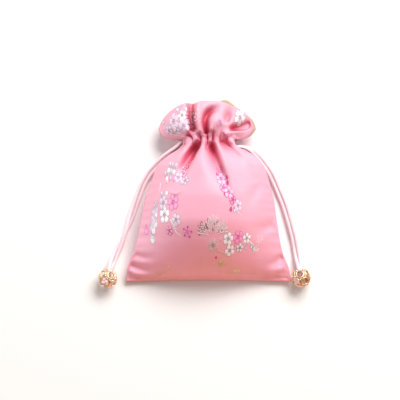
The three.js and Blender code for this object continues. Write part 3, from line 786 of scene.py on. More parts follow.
@dataclass(frozen=True)
class SatinWeave(Finish):
    """Satin woven from filament yarn: long floats on the face, so a soft sheen across the threads.

    face is the dye where the floats lie open and shade the dye between them; slubs along the weft mix the
    two and vary the roughness by the gloss steps. sheen_tint is empty for the face's own colour. fold is
    painted shade: a colour that ambient occlusion mixes in where the cloth's own folds lie within
    painted_shade_reach, full below painted_shade_full_at and gone above painted_shade_none_at, and empty
    where there are none. The threads are about 0.12 mm apart; the ribs are drawn coarser so that they
    still show. Lengths are in millimetres.
    """

    name: str
    face: str
    shade: str
    roughness: float
    rib_pitch: float = 0.42
    slub_length: float = 9.0
    sheen: float = 0.25
    anisotropy: float = 0.35
    relief: float = 0.18
    sheen_tint: str = ""
    fold: str = ""
    painted_shade_reach: float = 8.0
    painted_shade_full_at: float = 0.25
    painted_shade_none_at: float = 0.88
    rib_height: float = 0.06
    slubs_per_mm: float = 1.4
    cloud: float = 20.0
    dye_lift: float = 0.2
    gloss_less: float = 0.05
    gloss_more: float = 0.07
    sheen_roughness: float = 0.4
    refraction: float = 1.54

    def dye(
        self, tree: bpy.types.NodeTree, place: bpy.types.NodeSocket, slubs: bpy.types.NodeSocket
    ) -> bpy.types.NodeSocket:
        """Mix the dyes, then mix in the painted shade of close folds where fold is set.

        Args:
            tree: the material's tree.
            place: the UV place.
            slubs: the slubs along the weft.

        Returns:
            The socket of the mixed colour.
        """
        at_cloud = {"Vector": place, "Scale": 1 / self.cloud, "Detail": 1.0}
        clouds = add_node(tree, "ShaderNodeTexNoise", at_cloud).outputs[0]
        lifted = {0: slubs, 1: clouds, 2: self.dye_lift}
        share = add_node(tree, "ShaderNodeMath", lifted, operation="MULTIPLY_ADD").outputs[0]
        two = {0: share, 6: linear(self.shade), 7: linear(self.face)}
        mixed = add_node(tree, "ShaderNodeMix", two, data_type="RGBA").outputs[2]
        if not self.fold:
            return mixed
        # Painted shade and interreflection: ambient occlusion deepens the dye where folds lie close.
        near = {"Distance": self.painted_shade_reach * MM}
        occlusion_node = add_node(tree, "ShaderNodeAmbientOcclusion", near, samples=10, only_local=True)
        steps = {0: occlusion_node.outputs["AO"], 1: self.painted_shade_full_at, 2: self.painted_shade_none_at}
        unshaded = add_node(tree, "ShaderNodeMapRange", steps).outputs[0]
        deep = {0: unshaded, 6: linear(self.fold), 7: mixed}
        return add_node(tree, "ShaderNodeMix", deep, data_type="RGBA").outputs[2]

    def shader(self, tree: bpy.types.NodeTree) -> bpy.types.Node:
        """Make the satin: two close dyes in slubs along the weft, ribs along the warp, and a sheen.

        Args:
            tree: the material's tree.

        Returns:
            The shader.
        """
        place = add_node(tree, "ShaderNodeUVMap", uv_map=UV_NAME).outputs[0]
        stretch = {0: place, "Scale": (1 / self.slub_length, self.slubs_per_mm, 1.0)}
        stretched = add_node(tree, "ShaderNodeMapping", stretch).outputs[0]
        fine = {"Vector": stretched, "Scale": 1.0, "Detail": 3.0}
        slubs = add_node(tree, "ShaderNodeTexNoise", fine).outputs[0]
        bands = {"Vector": place, "Scale": WAVE_SCALE / self.rib_pitch, "Distortion": 1.2, "Detail": 1.0}
        ribs = add_node(tree, "ShaderNodeTexWave", bands, bands_direction="X").outputs[1]
        height = add_node(tree, "ShaderNodeMath", {0: ribs, 1: slubs}, operation="ADD").outputs[0]
        relief = {"Height": height, "Strength": self.relief, "Distance": self.rib_height * MM}
        steps = {0: slubs, 3: self.roughness - self.gloss_less, 4: self.roughness + self.gloss_more}
        warp = add_node(tree, "ShaderNodeTangent", direction_type="UV_MAP", uv_map=UV_NAME)
        return add_node(
            tree,
            "ShaderNodeBsdfPrincipled",
            {
                "Base Color": self.dye(tree, place, slubs),
                "Roughness": add_node(tree, "ShaderNodeMapRange", steps).outputs[0],
                "IOR": self.refraction,
                "Anisotropic": self.anisotropy,
                "Sheen Weight": self.sheen,
                "Sheen Roughness": self.sheen_roughness,
                "Sheen Tint": linear(self.sheen_tint or self.face),
                "Normal": add_node(tree, "ShaderNodeBump", relief).outputs[0],
                "Tangent": warp.outputs[0],
            },
        )


@dataclass(frozen=True)
class WeftFloats(SatinWeave):
    """Silk wefts that float over the ground: closer ribs and shorter slubs, so that each figure glints."""

    rib_pitch: float = 0.36
    slub_length: float = 4.0
    sheen: float = 0.3
    anisotropy: float = 0.3
    relief: float = 0.3


@dataclass(frozen=True)
class GiltBrass(Finish):
    """Cast brass, gilt and tumbled; by pointiness it is bright on high places and browner in hollows.

    low and high are the pointiness of places that are all deep and all bright. The tumbling marks, drawn
    coarser than the real ones, vary the roughness by the gloss steps. Lengths are in millimetres.
    """

    name: str
    bright: str
    deep: str
    roughness: float
    low: float = 0.44
    high: float = 0.53
    mark: float = 10 / 9
    mark_height: float = 0.05
    relief: float = 0.15
    gloss_less: float = 0.06
    gloss_more: float = 0.1

    def shader(self, tree: bpy.types.NodeTree) -> bpy.types.Node:
        """Make the gilt: colour by how far a place stands out, and fine tumbling marks.

        Args:
            tree: the material's tree.

        Returns:
            The shader.
        """
        pointed = add_node(tree, "ShaderNodeNewGeometry").outputs["Pointiness"]
        heights = {0: pointed, 1: self.low, 2: self.high}
        stands_out = add_node(tree, "ShaderNodeMapRange", heights).outputs[0]
        place = add_node(tree, "ShaderNodeTexCoord").outputs["Object"]
        fine = {"Vector": place, "Scale": 1 / (self.mark * MM), "Detail": 3.0}
        marks = add_node(tree, "ShaderNodeTexNoise", fine).outputs[0]
        two = {0: stands_out, 6: linear(self.deep), 7: linear(self.bright)}
        steps = {0: marks, 3: self.roughness - self.gloss_less, 4: self.roughness + self.gloss_more}
        relief = {"Height": marks, "Strength": self.relief, "Distance": self.mark_height * MM}
        return add_node(
            tree,
            "ShaderNodeBsdfPrincipled",
            {
                "Base Color": add_node(tree, "ShaderNodeMix", two, data_type="RGBA").outputs[2],
                "Metallic": 1.0,
                "Roughness": add_node(tree, "ShaderNodeMapRange", steps).outputs[0],
                "Normal": add_node(tree, "ShaderNodeBump", relief).outputs[0],
            },
        )


@dataclass(frozen=True)
class PaperSweep(Finish):
    """Pale paper under the pouch: matt, with the faint cloudiness of its pulp."""

    name: str
    light: str
    dark: str
    roughness: float = 0.9
    clouds_per_metre: float = 6.0

    def shader(self, tree: bpy.types.NodeTree) -> bpy.types.Node:
        """Make the paper.

        Args:
            tree: the material's tree.

        Returns:
            The shader.
        """
        place = add_node(tree, "ShaderNodeTexCoord").outputs["Object"]
        clouds = {"Vector": place, "Scale": self.clouds_per_metre, "Detail": 4.0}
        pulp = add_node(tree, "ShaderNodeTexNoise", clouds).outputs[0]
        two = {0: pulp, 6: linear(self.dark), 7: linear(self.light)}
        colour = add_node(tree, "ShaderNodeMix", two, data_type="RGBA").outputs[2]
        matt = {"Base Color": colour, "Roughness": self.roughness}
        return add_node(tree, "ShaderNodeBsdfPrincipled", matt)


# Warp-faced satin: its long floats lie side by side, so it glows across them, warm in grazing light
GROUND = SatinWeave(
    "pink silk satin, warp-faced brocade ground",
    "F9BACD",
    "EEA0B8",
    0.5,
    sheen=0.35,
    sheen_tint="FF9A5A",
    # fold is painted shade, mixed in by ambient occlusion between close folds
    fold="D2446C",
)
# Acetate satin with uneven slubs: pale where the yarn lies open, brown between the floats
LINING = SatinWeave("champagne acetate lining satin", "D2C0B4", "B08C58", 0.5)
# A tube of satin round a core: one long soft highlight runs along the cord
CORD = SatinWeave("pale pink rattail satin cord", "FFEEF3", "FAD6E0", 0.40, rib_pitch=0.5, relief=0.25)
# Tumbled after gilding: soft glints on the rings and grains; pointiness colours the grooves brown
GILT = GiltBrass("gilt cast brass, tumbled", "F8DCBC", "9A5A2C", 0.42)
# Uncoated paper: no glint, so only the pouch's own soft shadow shows on it
PAPER = PaperSweep("pale paper sweep", "FFFFFF", "FBFAF9")
# Brocading wefts: they lie over the ground, so their figures stand out in colour and in relief
FLOATS = {
    Tint.WHITE: WeftFloats("white silk weft floats", "FBFCFF", "EFEAF4", 0.34),
    Tint.LILAC: WeftFloats("lilac-white silk weft floats", "F6E3F2", "E2BFDD", 0.34),
    Tint.SILVER: WeftFloats("silver-grey silk weft floats", "F2E8EA", "D6C0C6", 0.34),
    Tint.ROSE: WeftFloats("rose silk weft floats", "FFB6E0", "F08CC6", 0.36),
    Tint.MAGENTA: WeftFloats("magenta silk weft floats", "E86AA2", "C23C74", 0.36),
    Tint.GOLD: WeftFloats("gold-tinted silk weft floats", "F6DFC4", "E4BE9C", 0.36),
    Tint.ORCHID: WeftFloats("orchid silk weft floats", "F8D0E8", "E8A6D0", 0.34),
    Tint.DOVE: WeftFloats("dove-grey silk weft floats", "C4AEBE", "A68E9E", 0.36),
    Tint.INK: WeftFloats("plum silk weft floats", "9A5C74", "7A4058", 0.4, sheen=0.2),
}


# The cloth of the pouch


@dataclass(frozen=True)
class Puckers:
    """Puckers that the stitches draw along a seam.

    pitch is the distance between them, drift and drift_length are how far and over what length they
    wander, reach is how far from the seam they die away and ease the strip beside it that stays flat.
    """

    pitch: float
    drift: float
    drift_length: float
    reach: float
    ease: float = 1.5

    def shape(self, along: np.ndarray, apart: np.ndarray) -> np.ndarray:
        """Work out the puckers.

        Args:
            along: places along the seam.
            apart: their distances from it.

        Returns:
            Shares of the puckers' height, from -1 to 1.
        """
        wave = np.sin(2 * np.pi * along / self.pitch + self.drift * np.sin(along / self.drift_length))
        return np.exp(-apart / self.reach) * wave * smooth(apart / self.ease)


SIDE_PUCKERS = Puckers(5.2, 1.3, 7.0, 4.5)
HEM_PUCKERS = Puckers(6.76, 1.7, 9.0, 5.0)


@dataclass
class ClothFace:
    """The outside of one half of the pouch, worked out from the tables above.

    The rim's reaches grow from rim_station on. Over the ruffle the right edge is drawn in by tuck, so that
    the other half shows. The drawn cord pulls the cloth in by pinch at pinch_station, and less at the
    sides. A low gather_round gives the gathers broad crests and narrow valleys. The side seams hold the
    cloth flat over seam_hold. A valley may take the share room of its height, less where the cloth is
    gathered. Puckers along the seams end at body_end, and the hem's seam draws a crease.
    """

    face: Face
    folds: tuple[Fold, ...]
    crests: tuple[float, ...]
    rim: tuple[RimReach, ...]
    rim_station: float = 96.0
    tuck: float = 0.0
    tuck_station: float = 86.0
    tuck_length: float = 5.0
    pinch: float = 0.5
    pinch_half: float = 1.8
    pinch_station: float = 84.6
    pinch_sides: float = 0.5
    gather_depth: float = 1.25
    gather_half: float = 6.5
    gather_round: float = 0.45
    seam_hold: float = 3.0
    room: float = 0.94
    room_gathered: float = 0.2
    room_gap: float = 0.4
    room_least: float = 0.05
    pucker: float = 0.22
    body_end: float = 76.0
    body_fade: float = 10.0
    uneven: float = 0.28
    hem_crease: float = 0.7
    crease_station: float = 1.7
    crease_half: float = 0.8

    def fold_height(self, x: np.ndarray, hem: np.ndarray) -> np.ndarray:
        """Add up the folds.

        Args:
            x: places across.
            hem: their distances from the hem, seen from above.

        Returns:
            The folds' height over the plain surface at each place.
        """
        total = np.zeros_like(x)
        t = np.linspace(0, 1, FOLD_STEPS + 1)[:, None]
        for fold in self.folds:
            a, b, c = (np.array(p) for p in (fold.start, fold.bend, fold.end))
            middle = 2 * b - (a + c) / 2
            curve = (1 - t) ** 2 * a + 2 * t * (1 - t) * middle + t * t * c
            heading = unit(np.gradient(curve, axis=0))
            apart = np.stack([x, hem], axis=-1)[..., None, :] - curve
            nearest = (apart**2).sum(axis=-1).argmin(axis=-1)
            off = np.take_along_axis(apart, nearest[..., None, None], axis=-2)[..., 0, :]
            ahead = heading[nearest]
            along = nearest / FOLD_STEPS + (off * ahead).sum(axis=-1) / path_length(curve)
            aside = off[..., 0] * -ahead[..., 1] + off[..., 1] * ahead[..., 0]
            half = fold.half_start + (fold.half_end - fold.half_start) * np.clip(along, 0, 1)
            half = half * np.where(aside * np.sign(a[1] - c[1]) > 0, 1 - fold.lean, 1 + fold.lean)
            share = smooth(along / fold.fade_in) * smooth((1 - along) / fold.fade_out)
            total += fold.height * share * np.exp(-np.abs(aside / half) ** fold.sharp)
        return total

    def gathers(self, reach: np.ndarray) -> np.ndarray:
        """Shape the gathers round the neck.

        Args:
            reach: shares of the half-width.

        Returns:
            0 on the rounded crests, down to -2 in the sharp valleys between them.
        """
        at_neck = np.where(reach < 0, -reach * self.crests[0], reach * self.crests[-1])
        phase = np.interp(at_neck, self.crests, np.pi * np.arange(len(self.crests)))
        return -2 * (1 - np.abs(np.cos(phase)) ** self.gather_round)

    def points(self, reaches: np.ndarray, stations: np.ndarray, inset: bool = False) -> np.ndarray:
        """Work out the face.

        Args:
            reaches: places from the left seam, -1, to the right one, 1.
            stations: stations from the hem to the rim.
            inset: whether this is the lining, which stands in from the panel.

        Returns:
            Points by station and reach, in millimetres.
        """
        side = self.face.value
        front = self.face is Face.FRONT
        s = np.asarray(stations)[:, None]
        value = {
            name: column(SECTIONS, name, s)
            for name in ("left", "right", "drop", "seam", "pleat", "slit")
        }
        bulge = column(SECTIONS, "rise" if front else "sink", s)
        exponent = column(SECTIONS, "round" if front else "flat", s)
        drawn_in = self.pinch * hump(s - self.pinch_station, self.pinch_half)
        in_side = column(LINING_INSETS, "side", s) if inset else self.pinch_sides * drawn_in
        bulge = bulge - (column(LINING_INSETS, "height", s) if inset else drawn_in)
        slit = 0 * s if inset else np.divide(value["slit"], bulge, out=np.zeros_like(s), where=bulge > 0)
        reach = np.asarray(reaches)[None, :] * np.sqrt(1 - slit**2)
        tucked = 0 if inset else self.tuck * smooth((s - self.tuck_station) / self.tuck_length)
        half = np.where(reach < 0, value["left"], value["right"] - tucked)
        x = reach * (half - in_side)
        arch = np.maximum(0, 1 - reach**2)
        fan = np.maximum(0, 1 - (x / half) ** 2) ** FAN_EXPONENT
        hem = s - value["drop"] * (1 - fan)
        grown = smooth((s - self.rim_station) / (RIM_STATION - self.rim_station))
        for row in self.rim:
            hem = hem + row.reach * grown * hump(x - row.x, row.half)
        lift = SEWN_GAP / 2 + CLOTH * np.clip((exponent - HALF_ROUND) / HALF_ROUND, 0, 1)
        edge = half - np.abs(x)
        folds = smooth(edge / self.seam_hold) * self.fold_height(x, hem)
        if inset:
            folds = np.where(s < NECK_STATION, 0, folds)
        plain = lift + bulge * arch**exponent
        if front:
            share = self.room - self.room_gathered * hump(s - self.pinch_station, self.gather_half)
            room = np.maximum(share * plain - self.room_gap, self.room_least)
            # A valley levels off softly before it has used up the room under it
            folds = np.where(folds < 0, folds / (1 + (folds / room) ** 4) ** 0.25, folds)
        z = value["seam"] + side * plain + folds
        if not inset:
            z, x = self.dress(x, z, hem, s, reach, edge, value)
        if not front:
            z = np.maximum(z, CLOTH + SEWN_GAP if inset else 0)
        return np.stack([x, hem - ORIGIN_STATION, z], axis=-1)

    def dress(
        self,
        x: np.ndarray,
        z: np.ndarray,
        hem: np.ndarray,
        s: np.ndarray,
        reach: np.ndarray,
        edge: np.ndarray,
        value: dict[str, np.ndarray],
    ) -> tuple[np.ndarray, np.ndarray]:
        """Add the gathers at the neck, the puckers along the seams and the cloth's own unevenness.

        Args:
            x: places across.
            z: heights.
            hem: distances from the hem.
            s: stations.
            reach: shares of the half-width.
            edge: distances from the side seam.
            value: columns of the section table at the stations.

        Returns:
            The heights and the places across, moved.
        """
        near = self.gather_depth * hump(s - self.pinch_station, self.gather_half)
        gather = near * value["pleat"] * np.sqrt(np.maximum(0, 1 - reach**2)) * self.gathers(reach)
        out = unit(np.stack([x, z - value["seam"]], axis=-1))
        z = z + gather * out[..., 1]
        x = x + gather * out[..., 0]
        body = smooth((self.body_end - s) / self.body_fade)
        z = z + self.pucker * body * SIDE_PUCKERS.shape(hem, edge)
        z = z + self.pucker * body * HEM_PUCKERS.shape(x, s)
        # Two crossed waves and a slanted one, of lengths that don't repeat on a pouch of this size
        slow = np.sin(x / 6.1 + 0.7) * np.sin(hem / 8.3 + 0.4) + 0.7 * np.sin((x + 0.8 * hem) / 9.7)
        z = z + self.uneven * slow * smooth(edge / 8) * smooth(s / 10) * smooth((100 - s) / 20)
        if self.face is Face.FRONT:
            z = z - self.hem_crease * hump(s - self.crease_station, self.crease_half) * smooth(edge / 2)
        return z, x


def thick_sheet(
    outside: np.ndarray, side: int, thickness: np.ndarray, seam: np.ndarray
) -> tuple[np.ndarray, np.ndarray, int]:
    """Close a grid of points into a sheet of cloth with rounded edges.

    Args:
        outside: the outside's points by row and column, in millimetres.
        side: 1 where the outside looks up, -1 where it looks down.
        thickness: the cloth's thickness at each row, in millimetres.
        seam: the height of the seams at each row, which the inside keeps clear of.

    Returns:
        The points (outside, inside, edge), the faces, and how many faces the outside has.
    """
    rows, columns = outside.shape[:2]
    inside = outside - thickness[:, None, None] * outward(outside, side)
    limit = seam[:, None] + side * SEWN_GAP / 2
    inside[..., 2] = np.maximum(inside[..., 2], limit) if side > 0 else np.minimum(inside[..., 2], limit)
    border = border_of(rows, columns)
    flat_out = outside.reshape(-1, 3)
    flat_in = inside.reshape(-1, 3)
    inward_row = np.clip(border // columns, 1, rows - 2)
    inward_column = np.clip(border % columns, 1, columns - 2)
    away = unit(flat_out[border] - flat_out[inward_row * columns + inward_column])
    lip = (flat_out[border] + flat_in[border]) / 2 + EDGE_ROUND * thickness[border // columns, None] * away
    index = np.arange(rows * columns).reshape(rows, columns)
    corners = (index[:-1, :-1], index[:-1, 1:], index[1:, 1:], index[1:, :-1])
    quads = np.stack(corners, axis=-1).reshape(-1, 4)
    base = rows * columns
    count = len(border)
    after = np.roll(np.arange(count), -1)
    ring = 2 * base + np.arange(count)
    outer_lip = np.stack([border, ring, ring[after], border[after]], axis=-1)
    inner_lip = np.stack([ring, base + border, base + border[after], ring[after]], axis=-1)
    faces = np.vstack([quads, outer_lip, inner_lip, (quads + base)[:, ::-1]])
    if side < 0:
        faces = faces[:, ::-1]
    return np.vstack([flat_out, flat_in, lip]), faces, len(quads) + count


def sheet_uv(grid: np.ndarray) -> np.ndarray:
    """Give UV places to the points of a thick sheet.

    Args:
        grid: UV places of its outside by row and column.

    Returns:
        UV places of the outside, the inside and the edge, one a row.
    """
    plain = grid.reshape(-1, 2)
    return np.vstack([plain, plain, plain[border_of(*grid.shape[:2])]])


@dataclass
class Panel:
    """One brocade panel of the pouch, from the hem to the rim of the ruffle, gathered at the neck.

    Its columns crowd to the side seams, and its rows are set for the body, the neck and the ruffle. The
    cloth is thinner in the gathers, from thin_start to thin_end. Above the station lined its inside wears
    the lining's colour. flat is its flat width and length in metres. outside, uv and normals are its grid,
    once it is built.
    """

    name: str
    cloth: ClothFace
    columns: int
    body_rows: int
    neck_rows: int
    ruffle_rows: int
    flat: tuple[float, float] = (0.102, 0.116)
    crowding: float = 0.45
    neck_start: float = 70.0
    neck_end: float = 90.0
    gathered: float = 0.4
    thin_start: float = 74.0
    thin_start_ease: float = 5.0
    thin_end: float = 94.0
    thin_end_ease: float = 4.0
    lined: float = 97.0
    outside: np.ndarray = field(default_factory=lambda: np.zeros((0, 0, 3)))
    uv: np.ndarray = field(default_factory=lambda: np.zeros((0, 0, 2)))
    normals: np.ndarray = field(default_factory=lambda: np.zeros((0, 0, 3)))

    def build(self) -> bpy.types.Object:
        """Build the panel as a closed sheet: brocade outside, the lining's colour inside the mouth.

        Returns:
            The panel.
        """
        stations = np.concatenate(
            [
                np.linspace(0, self.neck_start, self.body_rows, endpoint=False),
                np.linspace(self.neck_start, self.neck_end, self.neck_rows, endpoint=False),
                np.linspace(self.neck_end, RIM_STATION, self.ruffle_rows),
            ]
        )
        angle = np.linspace(0, np.pi, self.columns)
        reaches = -self.crowding * np.cos(angle) + (1 - self.crowding) * (2 * angle / np.pi - 1)
        side = self.cloth.face.value
        self.outside = self.cloth.points(reaches, stations)
        self.normals = outward(self.outside, side)
        run = run_along(self.outside[:, self.columns // 2])
        across = self.flat[0] / MM / 2 * reaches
        self.uv = np.stack(np.broadcast_arrays(across[None, :], run[:, None]), axis=-1)
        seam = column(SECTIONS, "seam", stations)
        thin = smooth((stations - self.thin_start) / self.thin_start_ease)
        thin = thin * smooth((self.thin_end - stations) / self.thin_end_ease)
        points, faces, outer = thick_sheet(self.outside, side, CLOTH - (CLOTH - self.gathered) * thin, seam)
        uv = sheet_uv(self.uv)
        tints = np.zeros(len(faces), dtype=np.int32)
        lined_run = run[np.searchsorted(stations, self.lined)]
        tints[outer:] = uv[faces[outer:, 0], 1] > lined_run
        made = make_mesh(self.name, points, faces, uv, tints)
        wear(made, GROUND, LINING)
        return made


@dataclass(frozen=True)
class Spot:
    """Where a figure is drawn: its grid point, size, upward heading in radians, weft and line's weft."""

    row: int
    col: int
    size: float
    up: float
    tint: Tint
    line: Tint

    def five(self, turned: float = 0.0) -> list[float]:
        """Headings of five petals, turned by an angle."""
        return [self.up + 2 * math.pi * k / 5 + turned for k in range(5)]


@dataclass
class Pattern:
    """The plum-blossom pattern of a panel: weft floats that stand a little over the ground.

    A float rises from its rim to the crown, which begins at the shoulder, and to a peak in its middle, and
    one that crosses others lies over them by the step named for it. Floats are laid longer than wide by
    stretch, since the cloth slopes away. points, faces, places and tints are what has been drawn so far.
    """

    name: str
    panel: Panel
    figures: tuple[Figure, ...]
    twigs: tuple[Twig, ...]
    rim: float = 0.05
    crown: float = 0.16
    peak: float = 0.03
    shoulder: float = 0.6
    line: float = 0.22
    stroke: float = 0.34
    stretch: float = 1.32
    petal_over: float = 0.05
    dot_over: float = 0.08
    stroke_over: float = 0.13
    speck_over: float = 0.06
    twig_rise: float = 0.04
    petal_points: int = 18
    points: list = field(default_factory=list)
    faces: list = field(default_factory=list)
    places: list = field(default_factory=list)
    tints: list = field(default_factory=list)

    def locate(self, x: float, hem: float) -> tuple[int, int]:
        """Find the grid point of the panel that lies nearest to a place seen from above.

        Args:
            x: the place across.
            hem: its distance from the hem.

        Returns:
            The grid point's row and column, not on the border.
        """
        grid = self.panel.outside
        rows, columns = grid.shape[:2]
        apart = (grid[..., 0] - x) ** 2 + (grid[..., 1] - (hem - ORIGIN_STATION)) ** 2
        row, col = np.unravel_index(apart.argmin(), apart.shape)
        return int(np.clip(row, 1, rows - 2)), int(np.clip(col, 1, columns - 2))

    def onto_cloth(
        self, spot: Spot, offsets: np.ndarray, heights: np.ndarray
    ) -> tuple[np.ndarray, np.ndarray]:
        """Lay flat places round a grid point onto the cloth.

        Args:
            spot: the grid point.
            offsets: places in millimetres, across and along.
            heights: their heights over the cloth.

        Returns:
            Points in millimetres and their UV places.
        """
        grid = self.panel.outside
        rows, columns = grid.shape[:2]
        row, col = spot.row, spot.col
        r0, r1 = max(row - SLOPE_STEPS, 0), min(row + SLOPE_STEPS, rows - 1)
        c0, c1 = max(col - SLOPE_STEPS, 0), min(col + SLOPE_STEPS, columns - 1)
        per_row = (grid[r1, col] - grid[r0, col]) / (r1 - r0)
        per_col = (grid[row, c1] - grid[row, c0]) / (c1 - c0)
        across = unit(per_col)
        normal = unit(np.cross(per_col, per_row))
        along = np.cross(normal, across)
        wanted = offsets[:, :1] * across + offsets[:, 1:] * along
        gram = np.array([[per_row @ per_row, per_row @ per_col], [per_row @ per_col, per_col @ per_col]])
        steps = np.linalg.solve(gram, np.stack([wanted @ per_row, wanted @ per_col])).T
        return self.sample(row + steps[:, 0], col + steps[:, 1], heights)

    def sample(
        self, at_row: np.ndarray, at_col: np.ndarray, heights: np.ndarray
    ) -> tuple[np.ndarray, np.ndarray]:
        """Read places of the cloth between the points of its grid.

        Args:
            at_row: rows, with fractions.
            at_col: columns, with fractions.
            heights: heights over the cloth.

        Returns:
            Points in millimetres and their UV places.
        """
        rows, columns = self.panel.outside.shape[:2]
        at_row = np.clip(at_row, 0, rows - 1.001)
        at_col = np.clip(at_col, 0, columns - 1.001)
        i, j = at_row.astype(int), at_col.astype(int)
        f, g = (at_row - i)[:, None], (at_col - j)[:, None]
        corners = (
            (i, j, (1 - f) * (1 - g)),
            (i, j + 1, (1 - f) * g),
            (i + 1, j, f * (1 - g)),
            (i + 1, j + 1, f * g),
        )
        point, out, uv = (
            sum(values[r, c] * share for r, c, share in corners)
            for values in (self.panel.outside, self.panel.normals, self.panel.uv)
        )
        laid = point + heights[:, None] * unit(out)
        laid[:, 2] = np.maximum(laid[:, 2], 0)
        return laid, uv

    def over_plan(self, places: np.ndarray, heights: np.ndarray) -> tuple[np.ndarray, np.ndarray]:
        """Lay places seen from above (x, distance from the hem) onto the cloth.

        Args:
            places: the places, one a row.
            heights: their heights over the cloth.

        Returns:
            Points in millimetres and their UV places.
        """
        grid = self.panel.outside[..., :2] + np.array((0.0, ORIGIN_STATION))
        found = []
        for place in places:
            row, col = self.locate(*place)
            per_row = (grid[row + 1, col] - grid[row - 1, col]) / 2
            per_col = (grid[row, col + 1] - grid[row, col - 1]) / 2
            slopes = np.stack([per_row, per_col], axis=-1)
            step = np.linalg.lstsq(slopes, place - grid[row, col], rcond=None)[0]
            found.append((row, col) + np.clip(step, -1, 1))
        at = np.array(found)
        return self.sample(at[:, 0], at[:, 1], heights)

    def keep(self, points: np.ndarray, uv: np.ndarray, faces: list, tint: Tint) -> None:
        """Add some floats to the pattern.

        Args:
            points: their points.
            uv: the points' UV places.
            faces: their faces, numbered from their own first point.
            tint: their weft.
        """
        base = sum(len(p) for p in self.points)
        self.points.append(points)
        self.places.append(uv)
        for face in faces:
            numbers = tuple(base + k for k in face)
            self.faces.append(numbers[::-1] if self.panel.cloth.face is Face.BACK else numbers)
            self.tints.append(tint.value)

    def add_patch(
        self, spot: Spot, outline: np.ndarray, tint: Tint, hollow: float = 0.0, over: float = 0.0
    ) -> None:
        """Add one patch of floats.

        Args:
            spot: the grid point that it is laid round.
            outline: its outline in millimetres from there, anticlockwise.
            tint: its weft.
            hollow: share of the outline that stays open in its middle.
            over: how far it lies over the cloth, where it crosses other floats.
        """
        outline = outline * (1.0, self.stretch)
        count = len(outline)
        heart = outline.mean(axis=0)
        if hollow:
            middle = (1 + hollow) / 2
            last, last_height = heart + (outline - heart) * hollow, np.full(count, over + self.rim)
        else:
            middle = self.shoulder
            last, last_height = heart[None], np.array([over + self.crown + self.peak])
        rings = np.vstack([outline, heart + (outline - heart) * middle, last])
        heights = [np.full(count, over + self.rim), np.full(count, over + self.crown), last_height]
        points, uv = self.onto_cloth(spot, rings, np.concatenate(heights))
        faces = []
        for k in range(count):
            n = (k + 1) % count
            faces.append((k, n, count + n, count + k))
            if hollow:
                faces.append((count + k, count + n, 2 * count + n, 2 * count + k))
            else:
                faces.append((count + k, count + n, 2 * count))
        self.keep(points, uv, faces, tint)

    def petal(self, length: float, width: float, heading: float, start: float = 0.0) -> np.ndarray:
        """Outline a petal: rounded, a little notched at its tip, narrower towards the eye.

        Args:
            length: its length in millimetres.
            width: its width.
            heading: the way that it points, in radians.
            start: how far from the eye it starts.

        Returns:
            Places across and along, anticlockwise.
        """
        t = np.linspace(0, 2 * np.pi, self.petal_points, endpoint=False)
        along = start + length / 2 * (1 - np.cos(t))
        # Its widest place lies past its middle, and its tip has a shallow notch.
        aside = width / 2 * np.sin(t) * (0.72 + 0.28 * (1 - np.cos(t)))
        along = along - 0.08 * length * hump(t - np.pi, 0.35)
        c, s = math.cos(heading), math.sin(heading)
        return np.stack([along * c + aside * s, along * s - aside * c], axis=-1)[::-1]

    def outlined(self, spot: Spot, heading: float, length: float, width: float, start: float) -> None:
        """Draw a petal with a fine line of another weft round it.

        Args:
            spot: its figure.
            heading: the way that it points, in radians.
            length: its length, as a share of the figure's size.
            width: its width, as such a share.
            start: how far from the eye it starts, as such a share.
        """
        long, wide, off = length * spot.size, width * spot.size, start * spot.size
        edge = self.line
        around = self.petal(long + edge, wide + edge, heading, off - edge / 2)
        self.add_patch(spot, around, spot.line)
        within = self.petal(long - edge, wide - edge, heading, off + edge / 2)
        self.add_patch(spot, within, spot.tint, over=self.petal_over)

    def strokes(self, spot: Spot, headings: list[float], tint: Tint, length: float, start: float) -> None:
        """Draw fine strokes that run out from a figure's eye, such as stamens.

        Args:
            spot: the figure.
            headings: the ways that they point, in radians.
            tint: their weft.
            length: their length, as a share of the figure's size.
            start: how far from the eye they start, as such a share.
        """
        for heading in headings:
            stroke = self.petal(length * spot.size, self.stroke, heading, start * spot.size)
            self.add_patch(spot, stroke, tint, over=self.stroke_over)

    def draw_blossom(self, spot: Spot) -> None:
        """Draw five outlined petals, with a stamen in each."""
        for heading in spot.five():
            self.outlined(spot, heading, length=0.43, width=0.37, start=0.08)
        self.strokes(spot, spot.five(), spot.line, length=0.2, start=0.03)

    def draw_ringed(self, spot: Spot) -> None:
        """Draw five plain rose petals, with dots of the figure's weft between their tips."""
        for heading in spot.five():
            petal = self.petal(0.36 * spot.size, 0.34 * spot.size, heading, 0.1 * spot.size)
            self.add_patch(spot, petal, Tint.ROSE)
        self.strokes(spot, spot.five(), spot.tint, length=0.12, start=0.06)
        for heading in spot.five(math.pi / 5):
            dot = self.petal(0.2 * spot.size, 0.17 * spot.size, heading, 0.3 * spot.size)
            self.add_patch(spot, dot, spot.tint, over=self.dot_over)

    def draw_drawn(self, spot: Spot) -> None:
        """Draw five petals that are only an outline, with three stamens in each."""
        hollow = 1 - self.stroke / (0.21 * spot.size)
        for heading in spot.five():
            petal = self.petal(0.41 * spot.size, 0.44 * spot.size, heading, 0.1 * spot.size)
            self.add_patch(spot, petal, spot.tint, hollow)
        spread = [heading + aside for heading in spot.five() for aside in (-0.32, 0.0, 0.32)]
        self.strokes(spot, spread, spot.tint, length=0.26, start=0.14)
        self.strokes(spot, spot.five(), spot.line, length=0.12, start=0.05)

